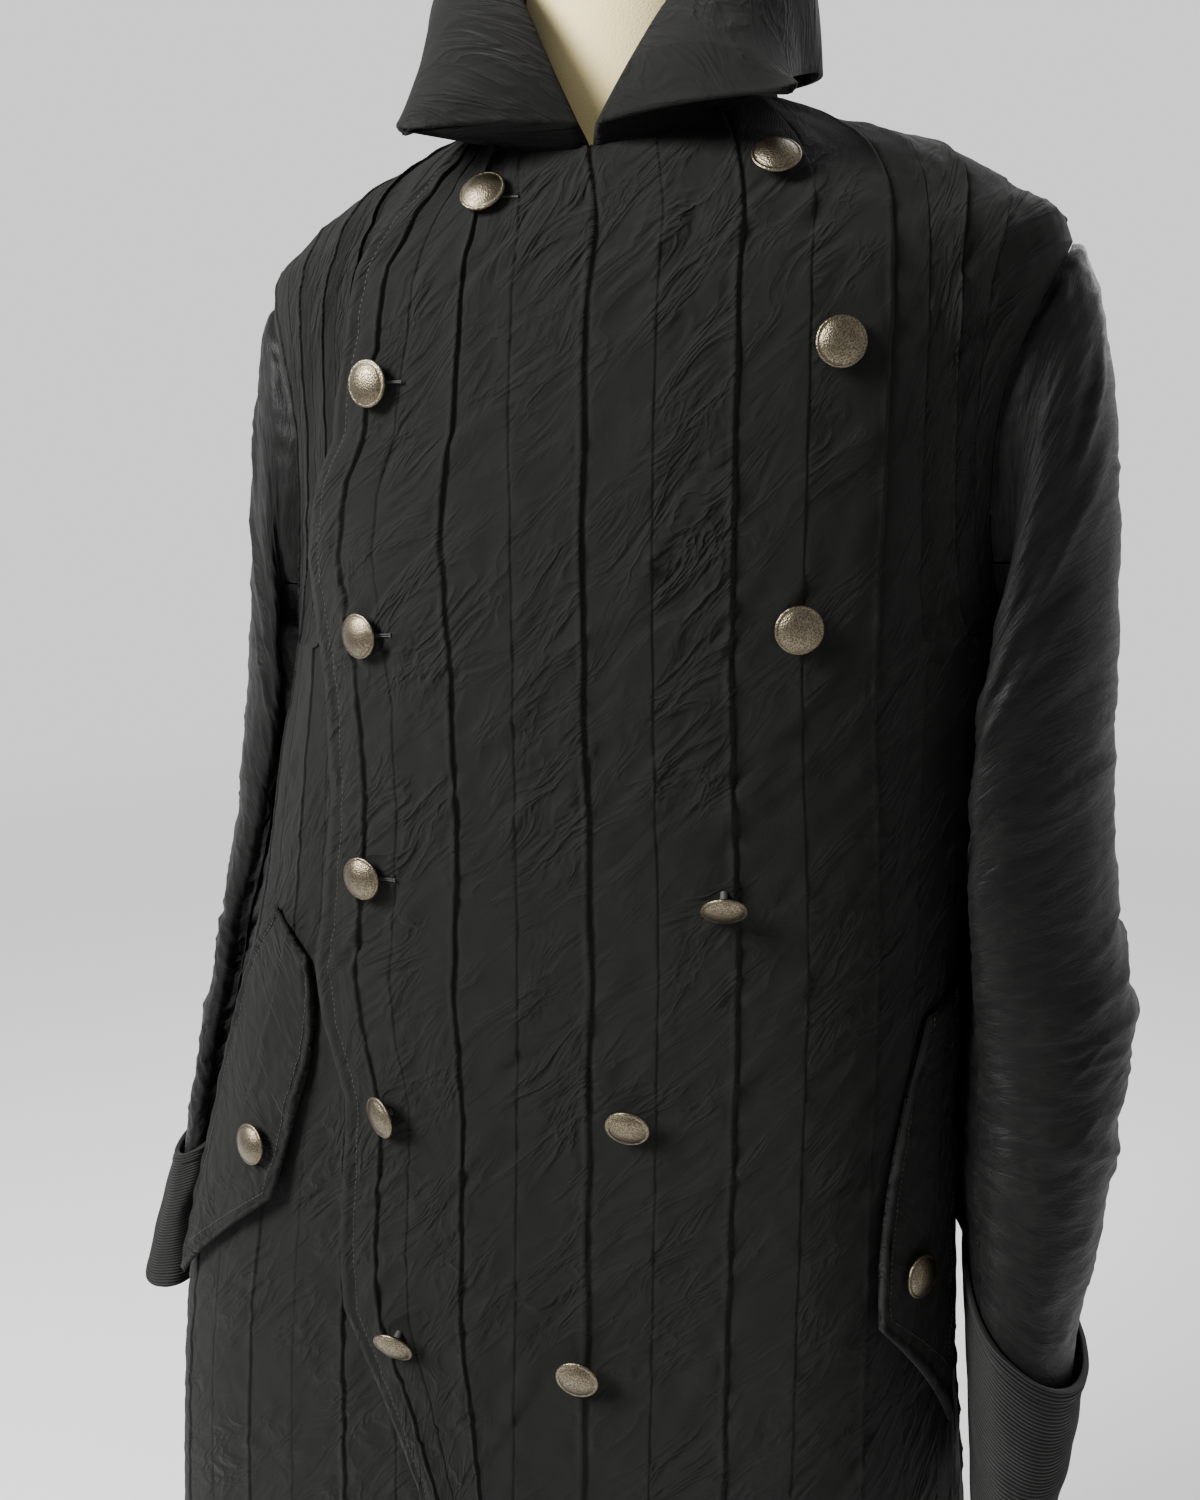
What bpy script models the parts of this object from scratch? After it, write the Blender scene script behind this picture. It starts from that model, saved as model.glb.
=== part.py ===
# Double-breasted coat on a dress form: cut pieces as thin walls, buttons, and the form that carries them.
# Metres, +Z up, the front looks along -Y. The origin is the middle of the form's foot, on the floor.
# "left" is the wearer's left, which is +X.
import math

import bpy
import numpy as np
from mathutils import Vector
from mathutils.bvhtree import BVHTree

for old in list(bpy.data.objects):
    bpy.data.objects.remove(old, do_unlink=True)

# Body sections, hem to neck, as the inside of the cloth
# columns: front_z, side_z, back_z, left half-width, right half-width, front depth, back depth,
# corner power, strip scale
SECTIONS = (
    (0.360, 0.360, 0.360, 0.224, 0.330, 0.158, 0.165, 2.40, 1.075),  # hem
    (0.570, 0.570, 0.570, 0.213, 0.322, 0.150, 0.157, 2.45, 1.070),  # thigh
    (0.780, 0.780, 0.780, 0.193, 0.308, 0.142, 0.147, 2.50, 1.065),  # seat
    (0.920, 0.920, 0.920, 0.186, 0.275, 0.134, 0.136, 2.45, 1.062),  # hip
    (1.045, 1.045, 1.045, 0.185, 0.242, 0.127, 0.127, 2.40, 1.058),  # waist
    (1.140, 1.140, 1.140, 0.194, 0.224, 0.134, 0.130, 2.25, 1.020),  # midriff
    (1.215, 1.205, 1.215, 0.204, 0.209, 0.140, 0.134, 2.20, 1.000),  # underarm
    (1.320, 1.315, 1.310, 0.211, 0.204, 0.139, 0.135, 2.35, 1.000),  # chest
    (1.375, 1.405, 1.385, 0.226, 0.214, 0.132, 0.122, 2.40, 1.000),  # shoulder tips
    (1.408, 1.434, 1.425, 0.194, 0.192, 0.122, 0.108, 2.45, 1.000),
    (1.430, 1.459, 1.455, 0.154, 0.156, 0.110, 0.092, 2.35, 1.000),
    (1.446, 1.476, 1.478, 0.113, 0.115, 0.098, 0.078, 2.20, 1.000),
    (1.456, 1.492, 1.500, 0.080, 0.080, 0.087, 0.066, 2.00, 1.000),  # neck
)
V_UNDERARM = 6.0
V_TIP = 8.0
V_NECK = 12.0
V_FREE_TOP = 11.7
FRONT_X = -0.004
NECK_SHIFT = -0.010
LEAN = 0.055
LEAN_FROM_Z = 0.40
LEAN_FULL_Z = 0.80

# Strips of the body cloth
PAIR = 0.0714
TUCK_STEP = 0.0006
TUCK_RISE = 0.0012
TUCK_REACH = 0.022

# Walls and gaps
BODY_WALL = 0.0018
SLEEVE_WALL = 0.0013
CUFF_WALL = 0.0020
COLLAR_WALL = 0.0022
COLLAR_GAP = 0.0014
FLAP_WALL = 0.0026
SEAM_GAP = 0.0003
UPPER_LIFT = 0.0052

# Armhole cut into the panels, and the way it runs from the underarm to the tip
ARM_CUT_FRONT = (0.075, 0.078)
ARM_CUT_BACK = 0.042
ARM_POWER = 0.40

# Free edge of the upper front: columns section, distance from the centre front
FREE_EDGE = (
    (0.00, -0.125),
    (1.00, -0.118),
    (1.70, -0.098),
    (2.00, -0.122),
    (2.30, -0.147),
    (2.60, -0.150),
    (3.00, -0.147),
    (3.25, -0.146),
    (3.60, -0.164),
    (3.85, -0.170),
    (4.10, -0.165),
    (4.85, -0.156),
    (5.70, -0.160),
    (6.20, -0.170),
    (6.50, -0.176),
    (6.80, -0.164),
    (7.05, -0.145),
    (7.80, -0.132),
    (8.70, -0.128),
    (9.50, -0.117),
    (10.25, -0.100),
    (11.00, -0.088),
    (12.00, -0.078),
)
FREE_EDGE_WIDEST = -0.158
FREE_FOLD = -0.131
HIDDEN_EDGE = 0.118
HIDDEN_EDGE_NECK = 0.075


def spline(table, v):
    table = np.asarray(table, float)
    v = np.clip(np.asarray(v, float), 0.0, len(table) - 1.0)
    i = np.minimum(v.astype(int), len(table) - 2)
    t = (v - i)[..., None]
    first = 2 * table[0] - table[1]
    last = 2 * table[-1] - table[-2]
    padded = np.vstack([first, table, last])
    a, b, c, d = padded[i], padded[i + 1], padded[i + 2], padded[i + 3]
    return 0.5 * (2 * b + (c - a) * t + (2 * a - 5 * b + 4 * c - d) * t * t + (3 * b - a - 3 * c + d) * t ** 3)


def smooth(t):
    t = np.clip(t, 0.0, 1.0)
    return t * t * (3 - 2 * t)


def body_point(v, theta, sections=SECTIONS):
    row = spline(sections, v)
    front_z, side_z, back_z, left, right, front, back, power = np.moveaxis(row, -1, 0)[:8]
    s, c = np.sin(theta), np.cos(theta)
    middle = FRONT_X + NECK_SHIFT * smooth((v - 9.0) / 3.0)
    half = np.where(s > 0, left, right)
    deep = np.where(c > 0, front, back)
    end_z = np.where(c > 0, front_z, back_z)
    x = middle + half * np.sign(s) * np.abs(s) ** (2 / power)
    y = -deep * np.sign(c) * np.abs(c) ** (2 / power)
    z = side_z + (end_z - side_z) * c * c
    z = z + LEAN * x * smooth((z - LEAN_FROM_Z) / (LEAN_FULL_Z - LEAN_FROM_Z))
    return np.stack([x, y, z], -1)


def body_normal(v, theta):
    small = 0.004
    across = body_point(v, theta + small) - body_point(v, theta - small)
    low, high = np.clip(v - small, 0, V_NECK), np.clip(v + small, 0, V_NECK)
    up = body_point(high, theta) - body_point(low, theta)
    n = np.cross(across, up)
    return n / np.linalg.norm(n, axis=-1, keepdims=True)


ARC_STEPS = 180


def half_arcs(v, side):
    """Arc length from the centre front to each of the ring's angles, on one side."""
    t = np.linspace(0.0, math.pi, ARC_STEPS + 1)
    ring = body_point(np.repeat(v[:, None], len(t), 1), side[:, None] * t[None, :])
    step = np.linalg.norm(np.diff(ring, axis=1), axis=-1)
    return t, np.concatenate([np.zeros((len(v), 1)), np.cumsum(step, axis=1)], axis=1)


def angle_at(v, u, from_back=False):
    """Ring angle at a signed distance from the centre front, or from the centre back."""
    shape = np.broadcast(v, u).shape
    v = np.broadcast_to(v, shape).ravel().astype(float)
    u = np.broadcast_to(u, shape).ravel().astype(float)
    theta = np.empty(len(v))
    for start in range(0, len(v), 4000):
        part = slice(start, start + 4000)
        side = np.where(u[part] >= 0, 1.0, -1.0)
        t, arcs = half_arcs(v[part], side)
        want = np.abs(u[part])
        if from_back:
            want = arcs[:, -1] - want
        want = np.clip(want, 0.0, arcs[:, -1])
        k = np.clip((arcs < want[:, None]).sum(axis=1), 1, ARC_STEPS)
        row = np.arange(len(want))
        low, high = arcs[row, k - 1], arcs[row, k]
        theta[part] = side * (t[k - 1] + (t[k] - t[k - 1]) * (want - low) / (high - low))
    return theta.reshape(shape)


def side_arc(v, side, from_back=False):
    """Distance from the centre line to the side and shoulder line."""
    v = np.atleast_1d(np.asarray(v, float))
    _, arcs = half_arcs(v, np.full(len(v), float(side)))
    mid = arcs[:, ARC_STEPS // 2]
    return arcs[:, -1] - mid if from_back else mid


def arm_cut(v, depth):
    w = np.clip((np.asarray(v, float) - V_UNDERARM) / (V_TIP - V_UNDERARM), 0.0, 1.0)
    return depth * (4 * w * (1 - w)) ** ARM_POWER


def scale_at(v):
    return spline(SECTIONS, v)[..., 8]


def fold_lines(low, high):
    return [k * PAIR for k in range(math.ceil((low + 0.008) / PAIR), math.floor((high - 0.008) / PAIR) + 1)]


def rise(s, folds):
    """Height of the tucks: full at each fold edge, running out over the strip on its right-hand side."""
    ahead = np.array(folds)[:, None] - s[None, :]
    return TUCK_RISE * np.where(ahead > 0, np.clip(1 - ahead / TUCK_REACH, 0.0, 1.0), 0.0).max(axis=0)


def strip_columns(low, high, folds):
    out = [low, high]
    for base in folds + [folds[0] - PAIR]:
        spots = (base - TUCK_STEP, base + TUCK_STEP, base + 0.021, base + 0.048)
        out.extend(s for s in spots if low + 0.006 < s < high - 0.006)
    return np.array(sorted(out))


LOW_ROWS = np.array([0, 0.5, 1.0, 1.5, 2.0, 2.5, 3.0, 3.5, 4.0, 4.5, 5.0, 5.5, 5.85])
HIGH_ROWS = np.array([0, 0.008, 0.04, 0.12, 0.22, 0.35, 0.50, 0.66, 0.82, 0.92, 0.98, 1.0])


def seam_section(u, side, from_back):
    """Section at which a distance from the centre line meets the shoulder seam, or the neck."""
    test = np.linspace(V_TIP, V_NECK, 201)
    limit = side_arc(test, side, from_back) - SEAM_GAP * 0.7
    return float(np.interp(-abs(u), -limit, test))


def panel_grid(columns, left, right, from_back=False):
    """Section and distance of each grid point: straight strips inside, the outer ones follow the edges."""

    def straight(s):
        top = seam_section(s, 1 if s > 0 else -1, from_back)
        if s < 0 and left[2] > V_TIP:
            top = min(top, left[2])
        v = np.concatenate([LOW_ROWS, V_UNDERARM + (top - V_UNDERARM) * HIGH_ROWS])
        return v, s * scale_at(v)

    def border(edge):
        """The edge itself, ending at the shoulder tip where it is an armhole, at the neck where it is free."""
        _, function, top = edge
        v = np.concatenate([LOW_ROWS, V_UNDERARM + (top - V_UNDERARM) * HIGH_ROWS])
        return v, function(v)

    grid = []
    for s in columns:
        edge, keep = (left, left[0]) if s < 0 else (right, right[0])
        ref = columns[0] if s < 0 else columns[-1]
        if abs(s) <= abs(keep):
            grid.append(straight(s))
            continue
        t = (s - keep) / (ref - keep)
        near_v, near_u = straight(keep)
        far_v, far_u = border(edge)
        v, u = near_v + (far_v - near_v) * t, near_u + (far_u - near_u) * t
        if edge[2] == V_TIP:
            share = np.clip((v - V_UNDERARM) / (v[-1] - V_UNDERARM), 0.0, 1.0) ** 2
            v = v + share * (seam_section(u[-1], 1 if s > 0 else -1, from_back) - v[-1])
        grid.append((v, u))
    return np.array([v for v, _ in grid]).T, np.array([u for _, u in grid]).T


def wall(name, inner, outer, material, closed=False):
    """Closed solid between two point grids; closed joins the last column to the first."""
    rows, cols = inner.shape[:2]
    count = rows * cols
    points = np.concatenate([outer.reshape(-1, 3), inner.reshape(-1, 3)])
    faces = []
    span = cols if closed else cols - 1
    for i in range(rows - 1):
        for j in range(span):
            a, b = i * cols + j, i * cols + (j + 1) % cols
            c, d = b + cols, a + cols
            for face in ((a, b, c), (a, c, d)):
                faces.append(face)
                faces.append(tuple(count + k for k in reversed(face)))
    for j in range(span):
        a, b = j, (j + 1) % cols
        faces.append((b, a, count + a, count + b))
        a, b = a + (rows - 1) * cols, b + (rows - 1) * cols
        faces.append((a, b, count + b, count + a))
    if not closed:
        for i in range(rows - 1):
            a, d = i * cols, (i + 1) * cols
            faces.append((a, d, count + d, count + a))
            b, c = a + cols - 1, d + cols - 1
            faces.append((c, b, count + b, count + c))
    return solid(name, points, faces, material)


def solid(name, points, faces, material):
    points = np.asarray(points, float)
    volume = 0.0
    for face in faces:
        first = points[face[0]]
        for k in range(1, len(face) - 1):
            volume += first @ np.cross(points[face[k]], points[face[k + 1]])
    if volume < 0:
        faces = [face[::-1] for face in faces]
    mesh = bpy.data.meshes.new(name)
    mesh.from_pydata([tuple(map(float, p)) for p in points], [], [tuple(map(int, f)) for f in faces])
    mesh.materials.append(material)
    obj = bpy.data.objects.new(name, mesh)
    bpy.context.scene.collection.objects.link(obj)
    return obj


def paint(name, colour, roughness, metallic=0.0):
    material = bpy.data.materials.new(name)
    material.use_nodes = True
    shader = material.node_tree.nodes["Principled BSDF"]
    shader.inputs["Base Color"].default_value = (*colour, 1.0)
    shader.inputs["Roughness"].default_value = roughness
    shader.inputs["Metallic"].default_value = metallic
    return material


COAT_CLOTH = paint("coat_cloth", (0.019, 0.019, 0.018), 0.85)
SLEEVE_CLOTH = paint("sleeve_cloth", (0.016, 0.016, 0.017), 0.55)
CUFF_CLOTH = paint("cuff_cloth", (0.017, 0.016, 0.016), 0.75)
BUTTON_METAL = paint("button_metal", (0.150, 0.125, 0.090), 0.38, 0.9)
FORM_COVER = paint("form_cover", (0.760, 0.700, 0.560), 0.80)
STAND_METAL = paint("stand_metal", (0.080, 0.080, 0.085), 0.40, 0.9)


# Body panels
def free_edge(v):
    return np.interp(v, [row[0] for row in FREE_EDGE], [row[1] for row in FREE_EDGE])


def hidden_edge(v):
    return HIDDEN_EDGE + (HIDDEN_EDGE_NECK - HIDDEN_EDGE) * smooth((np.asarray(v, float) - V_TIP) / 3.0)


def front_left_side(v):
    v = np.minimum(v, V_TIP)
    return side_arc(v, 1) - arm_cut(v, ARM_CUT_FRONT[0]) - SEAM_GAP / 2


def front_right_side(v):
    v = np.minimum(v, V_TIP)
    return -(side_arc(v, -1) - arm_cut(v, ARM_CUT_FRONT[1]) - SEAM_GAP / 2)


def back_left_side(v):
    v = np.minimum(v, V_TIP)
    return side_arc(v, 1, True) - arm_cut(v, ARM_CUT_BACK) - SEAM_GAP / 2


def back_right_side(v):
    v = np.minimum(v, V_TIP)
    return -(side_arc(v, -1, True) - arm_cut(v, ARM_CUT_BACK) - SEAM_GAP / 2)


def upper_lift(v, u):
    """The upper front lies over the under front, and comes down to the seam beside it."""
    past = np.abs(u) - (np.abs(hidden_edge(v)) + 0.008)
    return UPPER_LIFT * np.where(u > 0, 1 - smooth(past / 0.045), 1.0)


def make_panel(name, low, high, left, right, lift=None, from_back=False):
    folds = fold_lines(low, high)
    if name == "front_left":
        folds[0] = FREE_FOLD
    columns = strip_columns(low, high, folds)
    v, u = panel_grid(columns, left, right, from_back)
    theta = angle_at(v, u, from_back)
    base, normal = body_point(v, theta), body_normal(v, theta)
    raised = lift(v, u) if lift else np.zeros_like(u)
    inner = base + normal * raised[..., None]
    outer = inner + normal * (BODY_WALL + rise(columns, folds))[None, :, None]
    return wall(name, inner, outer, COAT_CLOTH)


left_ref = float(side_arc(0.0, 1)[0] / SECTIONS[0][8])
right_ref = float(side_arc(0.0, -1)[0] / SECTIONS[0][8])
left_back_ref = float(side_arc(0.0, 1, True)[0] / SECTIONS[0][8])
right_back_ref = float(side_arc(0.0, -1, True)[0] / SECTIONS[0][8])
# each edge: where the strips stop running straight, the edge, and the section it ends on
left_upper = (-0.045, free_edge, V_FREE_TOP)
left_seam = (0.150, front_left_side, V_TIP)
right_seam = (-0.130, front_right_side, V_TIP)
right_under = (0.060, hidden_edge, V_NECK)
front_left = make_panel("front_left", FREE_EDGE_WIDEST, left_ref, left_upper, left_seam, upper_lift)
make_panel("front_right", -right_ref, HIDDEN_EDGE, right_seam, right_under)
back_seams = (-0.160, back_right_side, V_TIP), (0.160, back_left_side, V_TIP)
make_panel("back", -right_back_ref, left_back_ref, back_seams[0], back_seams[1], None, True)


# Sleeves: each ring of the tube by its outermost and innermost points and its front and back
# columns: outer x, outer z, inner x, inner z, front y, back y, share of this ring (the rest is the armhole),
# tilt towards the back, bend of front and back round the body
SLEEVE_LEFT = (
    (0.243, 1.398, 0.2215, 1.226, -0.078, 0.058, 0.35, 0.00, 0.010),
    (0.253, 1.352, 0.219, 1.205, -0.086, 0.065, 0.65, 0.00, 0.024),
    (0.256, 1.300, 0.2165, 1.185, -0.092, 0.078, 0.88, 0.00, 0.036),
    (0.258, 1.240, 0.211, 1.162, -0.095, 0.082, 1.00, 0.00, 0.042),
    (0.260, 1.180, 0.2075, 1.128, -0.096, 0.083, 1.00, 0.00, 0.042),
    (0.263, 1.120, 0.2030, 1.085, -0.094, 0.082, 1.00, 0.00, 0.038),
    (0.269, 1.060, 0.1980, 1.040, -0.091, 0.078, 1.00, 0.00, 0.030),
    (0.279, 1.012, 0.1950, 1.000, -0.090, 0.072, 1.00, 0.05, 0.022),
    (0.280, 0.975, 0.1935, 0.970, -0.091, 0.064, 1.00, 0.08, 0.016),
    (0.275, 0.930, 0.1935, 0.930, -0.096, 0.052, 1.00, 0.10, 0.012),
    (0.269, 0.876, 0.1955, 0.896, -0.100, 0.044, 1.00, 0.10, 0.010),
    (0.261, 0.826, 0.1985, 0.866, -0.104, 0.037, 1.00, 0.08, 0.008),
    (0.258, 0.790, 0.2015, 0.838, -0.106, 0.034, 1.00, 0.07, 0.008),
)
CUFF_LEFT = (
    (0.266, 0.798, 0.1965, 0.852, -0.110, 0.042, 1.00, 0.07, 0.008),
    (0.264, 0.764, 0.2000, 0.802, -0.112, 0.038, 1.00, 0.05, 0.006),
    (0.261, 0.728, 0.2040, 0.750, -0.114, 0.034, 1.00, 0.03, 0.005),
    (0.258, 0.692, 0.2100, 0.702, -0.116, 0.032, 1.00, 0.02, 0.004),
)
SLEEVE_RIGHT = (
    (-0.238, 1.374, -0.2340, 1.204, -0.070, 0.062, 0.35, 0.00, 0.008),
    (-0.244, 1.330, -0.2330, 1.183, -0.068, 0.072, 0.65, 0.00, 0.018),
    (-0.250, 1.284, -0.2330, 1.163, -0.063, 0.084, 0.88, 0.00, 0.024),
    (-0.258, 1.230, -0.2370, 1.138, -0.056, 0.096, 1.00, 0.00, 0.028),
    (-0.268, 1.172, -0.2440, 1.106, -0.046, 0.108, 1.00, 0.00, 0.025),
    (-0.279, 1.115, -0.2530, 1.071, -0.034, 0.116, 1.00, 0.00, 0.020),
    (-0.290, 1.058, -0.2630, 1.034, -0.024, 0.120, 1.00, 0.00, 0.014),
    (-0.301, 1.006, -0.2740, 0.996, -0.018, 0.120, 1.00, 0.00, 0.010),
    (-0.311, 0.962, -0.2830, 0.958, -0.015, 0.120, 1.00, 0.00, 0.008),
    (-0.322, 0.915, -0.2920, 0.918, -0.013, 0.120, 1.00, 0.00, 0.006),
    (-0.333, 0.868, -0.3010, 0.884, -0.011, 0.118, 1.00, 0.00, 0.006),
    (-0.342, 0.828, -0.3090, 0.852, -0.008, 0.114, 1.00, 0.00, 0.006),
    (-0.346, 0.804, -0.3130, 0.826, -0.007, 0.112, 1.00, 0.00, 0.006),
)
CUFF_RIGHT = (
    (-0.351, 0.812, -0.3060, 0.836, -0.011, 0.117, 1.00, 0.00, 0.006),
    (-0.362, 0.778, -0.3160, 0.796, -0.012, 0.116, 1.00, 0.00, 0.005),
    (-0.372, 0.744, -0.3230, 0.756, -0.013, 0.115, 1.00, 0.00, 0.004),
    (-0.380, 0.714, -0.3300, 0.720, -0.013, 0.114, 1.00, 0.00, 0.004),
)
SLEEVE_POWER = 2.3
BACK_SEAM = math.radians(-38.0)
FRONT_SEAM = math.radians(132.0)
SEAM_TURN = math.radians(0.35)


def armhole_path(side):
    """Armhole on the panels' own rows: from the tip down the front to the underarm and up the back."""
    v = V_UNDERARM + (V_TIP - V_UNDERARM) * HIGH_ROWS
    front_u = side * (side_arc(v, side) - arm_cut(v, ARM_CUT_FRONT[0 if side > 0 else 1]))
    back_u = side * (side_arc(v, side, True) - arm_cut(v, ARM_CUT_BACK))
    path_v = np.concatenate([v[::-1], v[1:]])
    path_t = np.concatenate([angle_at(v, front_u)[::-1], angle_at(v, back_u, True)[1:]])
    base, normal = body_point(path_v, path_t), body_normal(path_v, path_t)
    away = np.cross(normal, np.gradient(base, axis=0)) * side
    away[0] = away[-1] = away[0] + away[-1]
    normal[0] = normal[-1] = normal[0] + normal[-1]
    away /= np.linalg.norm(away, axis=1, keepdims=True)
    normal /= np.linalg.norm(normal, axis=1, keepdims=True)
    low = len(v) - 1
    arc = np.concatenate([[0.0], np.cumsum(np.linalg.norm(np.diff(base, axis=0), axis=1))])
    turn = np.where(np.arange(len(arc)) <= low, math.pi * arc / arc[low],
                    math.pi * (1 + (arc - arc[low]) / (arc[-1] - arc[low])))
    return base, normal, away, turn


ARMHOLES = {1: armhole_path(1), -1: armhole_path(-1)}
ARMHOLE_SHIFT = 0.0016


def armhole_loop(side, angles, lift):
    base, normal, away, turn = ARMHOLES[side]
    path = base + normal * lift + away * ARMHOLE_SHIFT
    return np.stack([np.interp(np.mod(angles, 2 * math.pi), turn, path[:, k]) for k in range(3)], -1)


def ring_section(row, angles):
    outer_x, outer_z, inner_x, inner_z, front_y, back_y, _, tilt, bend = row
    middle = np.array([(outer_x + inner_x) / 2, (front_y + back_y) / 2, (outer_z + inner_z) / 2])
    across = np.array([(outer_x - inner_x) / 2, 0.0, (outer_z - inner_z) / 2])
    forward = np.array([0.0, (front_y - back_y) / 2, 0.0])
    c, s = np.cos(angles), np.sin(angles)
    c = np.sign(c) * np.abs(c) ** (2 / SLEEVE_POWER)
    s = np.sign(s) * np.abs(s) ** (2 / SLEEVE_POWER)
    points = middle + c[:, None] * across + s[:, None] * forward
    points[:, 0] -= math.copysign(bend, outer_x) * s * s
    points[:, 2] -= tilt * (points[:, 1] - middle[1])
    return points


def tube_rings(table, angles, side, with_head):
    rings = []
    loop = armhole_loop(side, angles, SLEEVE_WALL / 2)
    if with_head:
        rings.append(loop)
    for row in table:
        rings.append(row[6] * ring_section(row, angles) + (1 - row[6]) * loop)
    return np.array(rings)


def tube_wall(name, table, angles, side, thickness, material, with_head, closed=False):
    middle = tube_rings(table, angles, side, with_head)
    small = 0.05
    ahead, behind = (tube_rings(table, angles + step, side, with_head) for step in (small, -small))
    down = np.gradient(middle, axis=0)
    normal = np.cross(ahead - behind, down) * side
    normal /= np.linalg.norm(normal, axis=-1, keepdims=True)
    offset = normal * thickness / 2
    return wall(name, middle - offset, middle + offset, material, closed)


def sleeve_piece(name, table, side, start, end):
    turn = ARMHOLES[side][3]
    turn = np.concatenate([turn - 2 * math.pi, turn[1:], turn[1:] + 2 * math.pi])
    inside = turn[(turn > start + 0.06) & (turn < end - 0.06)]
    angles = np.concatenate([[start + SEAM_TURN], inside, [end - SEAM_TURN]])
    return tube_wall(name, table, angles, side, SLEEVE_WALL, SLEEVE_CLOTH, True)


def cuff(name, table, side):
    angles = ARMHOLES[side][3][:-1]
    return tube_wall(name, table, angles, side, CUFF_WALL, CUFF_CLOTH, False, closed=True)


for word, table, side in (("left", SLEEVE_LEFT, 1), ("right", SLEEVE_RIGHT, -1)):
    sleeve_piece("sleeve_" + word + "_top", table, side, BACK_SEAM, FRONT_SEAM)
    sleeve_piece("sleeve_" + word + "_under", table, side, FRONT_SEAM, BACK_SEAM + 2 * math.pi)
cuff("cuff_left", CUFF_LEFT, 1)
cuff("cuff_right", CUFF_RIGHT, -1)


# Collar: stand, roll and leaf, by stations from the centre front round to the centre back
# columns: place on the neckline, roll x y z, swell x y z, edge x y z
COLLAR = (
    (0.00, 0.005, -0.100, 1.470, 0.045, -0.122, 1.474, 0.100, -0.124, 1.471),
    (0.12, 0.019, -0.094, 1.497, 0.058, -0.120, 1.508, 0.096, -0.108, 1.478),
    (0.25, 0.034, -0.081, 1.526, 0.076, -0.096, 1.540, 0.093, -0.080, 1.486),
    (0.40, 0.050, -0.063, 1.552, 0.090, -0.070, 1.568, 0.094, -0.046, 1.494),
    (0.58, 0.067, -0.024, 1.574, 0.099, -0.026, 1.592, 0.100, -0.004, 1.503),
    (0.78, 0.058, 0.035, 1.581, 0.088, 0.058, 1.598, 0.082, 0.054, 1.509),
    (1.00, 0.000, 0.064, 1.584, 0.000, 0.102, 1.600, 0.000, 0.100, 1.511),
)
COLLAR_X = (-0.014, -0.012, -0.007)
COLLAR_SPREAD = {1: 0.97, -1: 1.15}
COLLAR_STATIONS = 15
STAND_STEPS = (0.0, 0.35, 0.7, 0.92)
LEAF_STEPS = (0.0, 0.10, 0.25, 0.45, 0.70, 1.0)


def collar_half(side, places):
    stations = np.array(COLLAR)
    knots = np.interp(places, stations[:, 0], np.arange(len(stations)))
    row = spline(COLLAR, knots)
    mirror = np.array([side, 1.0, 1.0])
    parts = []
    for k, shift in zip((1, 4, 7), COLLAR_X):
        part = row[:, k:k + 3] * mirror + np.array([shift, 0.0, 0.0])
        if k > 1:
            part[:, 0] *= 1 + (COLLAR_SPREAD[side] - 1) * smooth(places / 0.25)
        part[:, 2] += LEAN * part[:, 0]
        parts.append(part)
    roll, swell, edge = parts
    length = half_arcs(np.array([V_NECK]), np.array([float(side)]))[1][0, -1]
    u = side * length * np.clip(places, 0.002, 0.9999)
    v = np.full(len(u), V_NECK)
    theta = angle_at(v, u)
    base, normal = body_point(v, theta), body_normal(v, theta)
    up = base - body_point(v - 0.01, theta)
    up /= np.linalg.norm(up, axis=1, keepdims=True)
    raised = upper_lift(v, u) if side > 0 else np.zeros_like(u)
    base = base + normal * (raised + COLLAR_WALL / 2)[:, None] + up * COLLAR_GAP
    rows = []
    for t in STAND_STEPS:
        lean = base + (roll - base) * t
        rows.append(lean)
    for t in LEAF_STEPS:
        rows.append((1 - t) ** 2 * roll + 2 * t * (1 - t) * swell + t * t * edge)
    return np.array(rows), normal


def collar_grid(count):
    places = np.linspace(0.0, 1.0, count)
    left, left_normal = collar_half(1, places)
    right, right_normal = collar_half(-1, places)
    middle = np.concatenate([right[:, :-1], left[:, ::-1]], axis=1)
    foot = np.concatenate([right_normal[:-1], left_normal[::-1]])
    across = np.gradient(middle, axis=1)
    down = np.gradient(middle, axis=0)
    normal = np.cross(across, down)
    normal /= np.linalg.norm(normal, axis=-1, keepdims=True)
    if (normal[1] * foot).sum() < 0:
        normal = -normal
    normal[0] = foot
    return middle, normal


collar_middle, collar_normal = collar_grid(COLLAR_STATIONS)
half_wall = collar_normal * COLLAR_WALL / 2
wall("collar", collar_middle - half_wall, collar_middle + half_wall, COAT_CLOTH)


# Pocket flaps: columns inner edge section, inner edge distance, outer edge section, outer edge distance
FLAP_LEFT = (
    (3.60, 0.188, 3.64, 0.222),
    (3.42, 0.179, 3.45, 0.231),
    (3.18, 0.169, 3.14, 0.233),
    (2.90, 0.160, 2.76, 0.233),
    (2.60, 0.155, 2.32, 0.230),
    (2.34, 0.155, 1.80, 0.222),
)
FLAP_RIGHT = (
    (3.84, -0.177, 4.06, -0.212),
    (3.60, -0.172, 3.74, -0.240),
    (3.36, -0.174, 3.34, -0.256),
    (3.14, -0.182, 2.94, -0.274),
    (2.93, -0.189, 2.52, -0.283),
    (2.72, -0.196, 2.09, -0.298),
)
FLAP_FLARE = 0.007
FLAP_GAP = 0.0004


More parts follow.
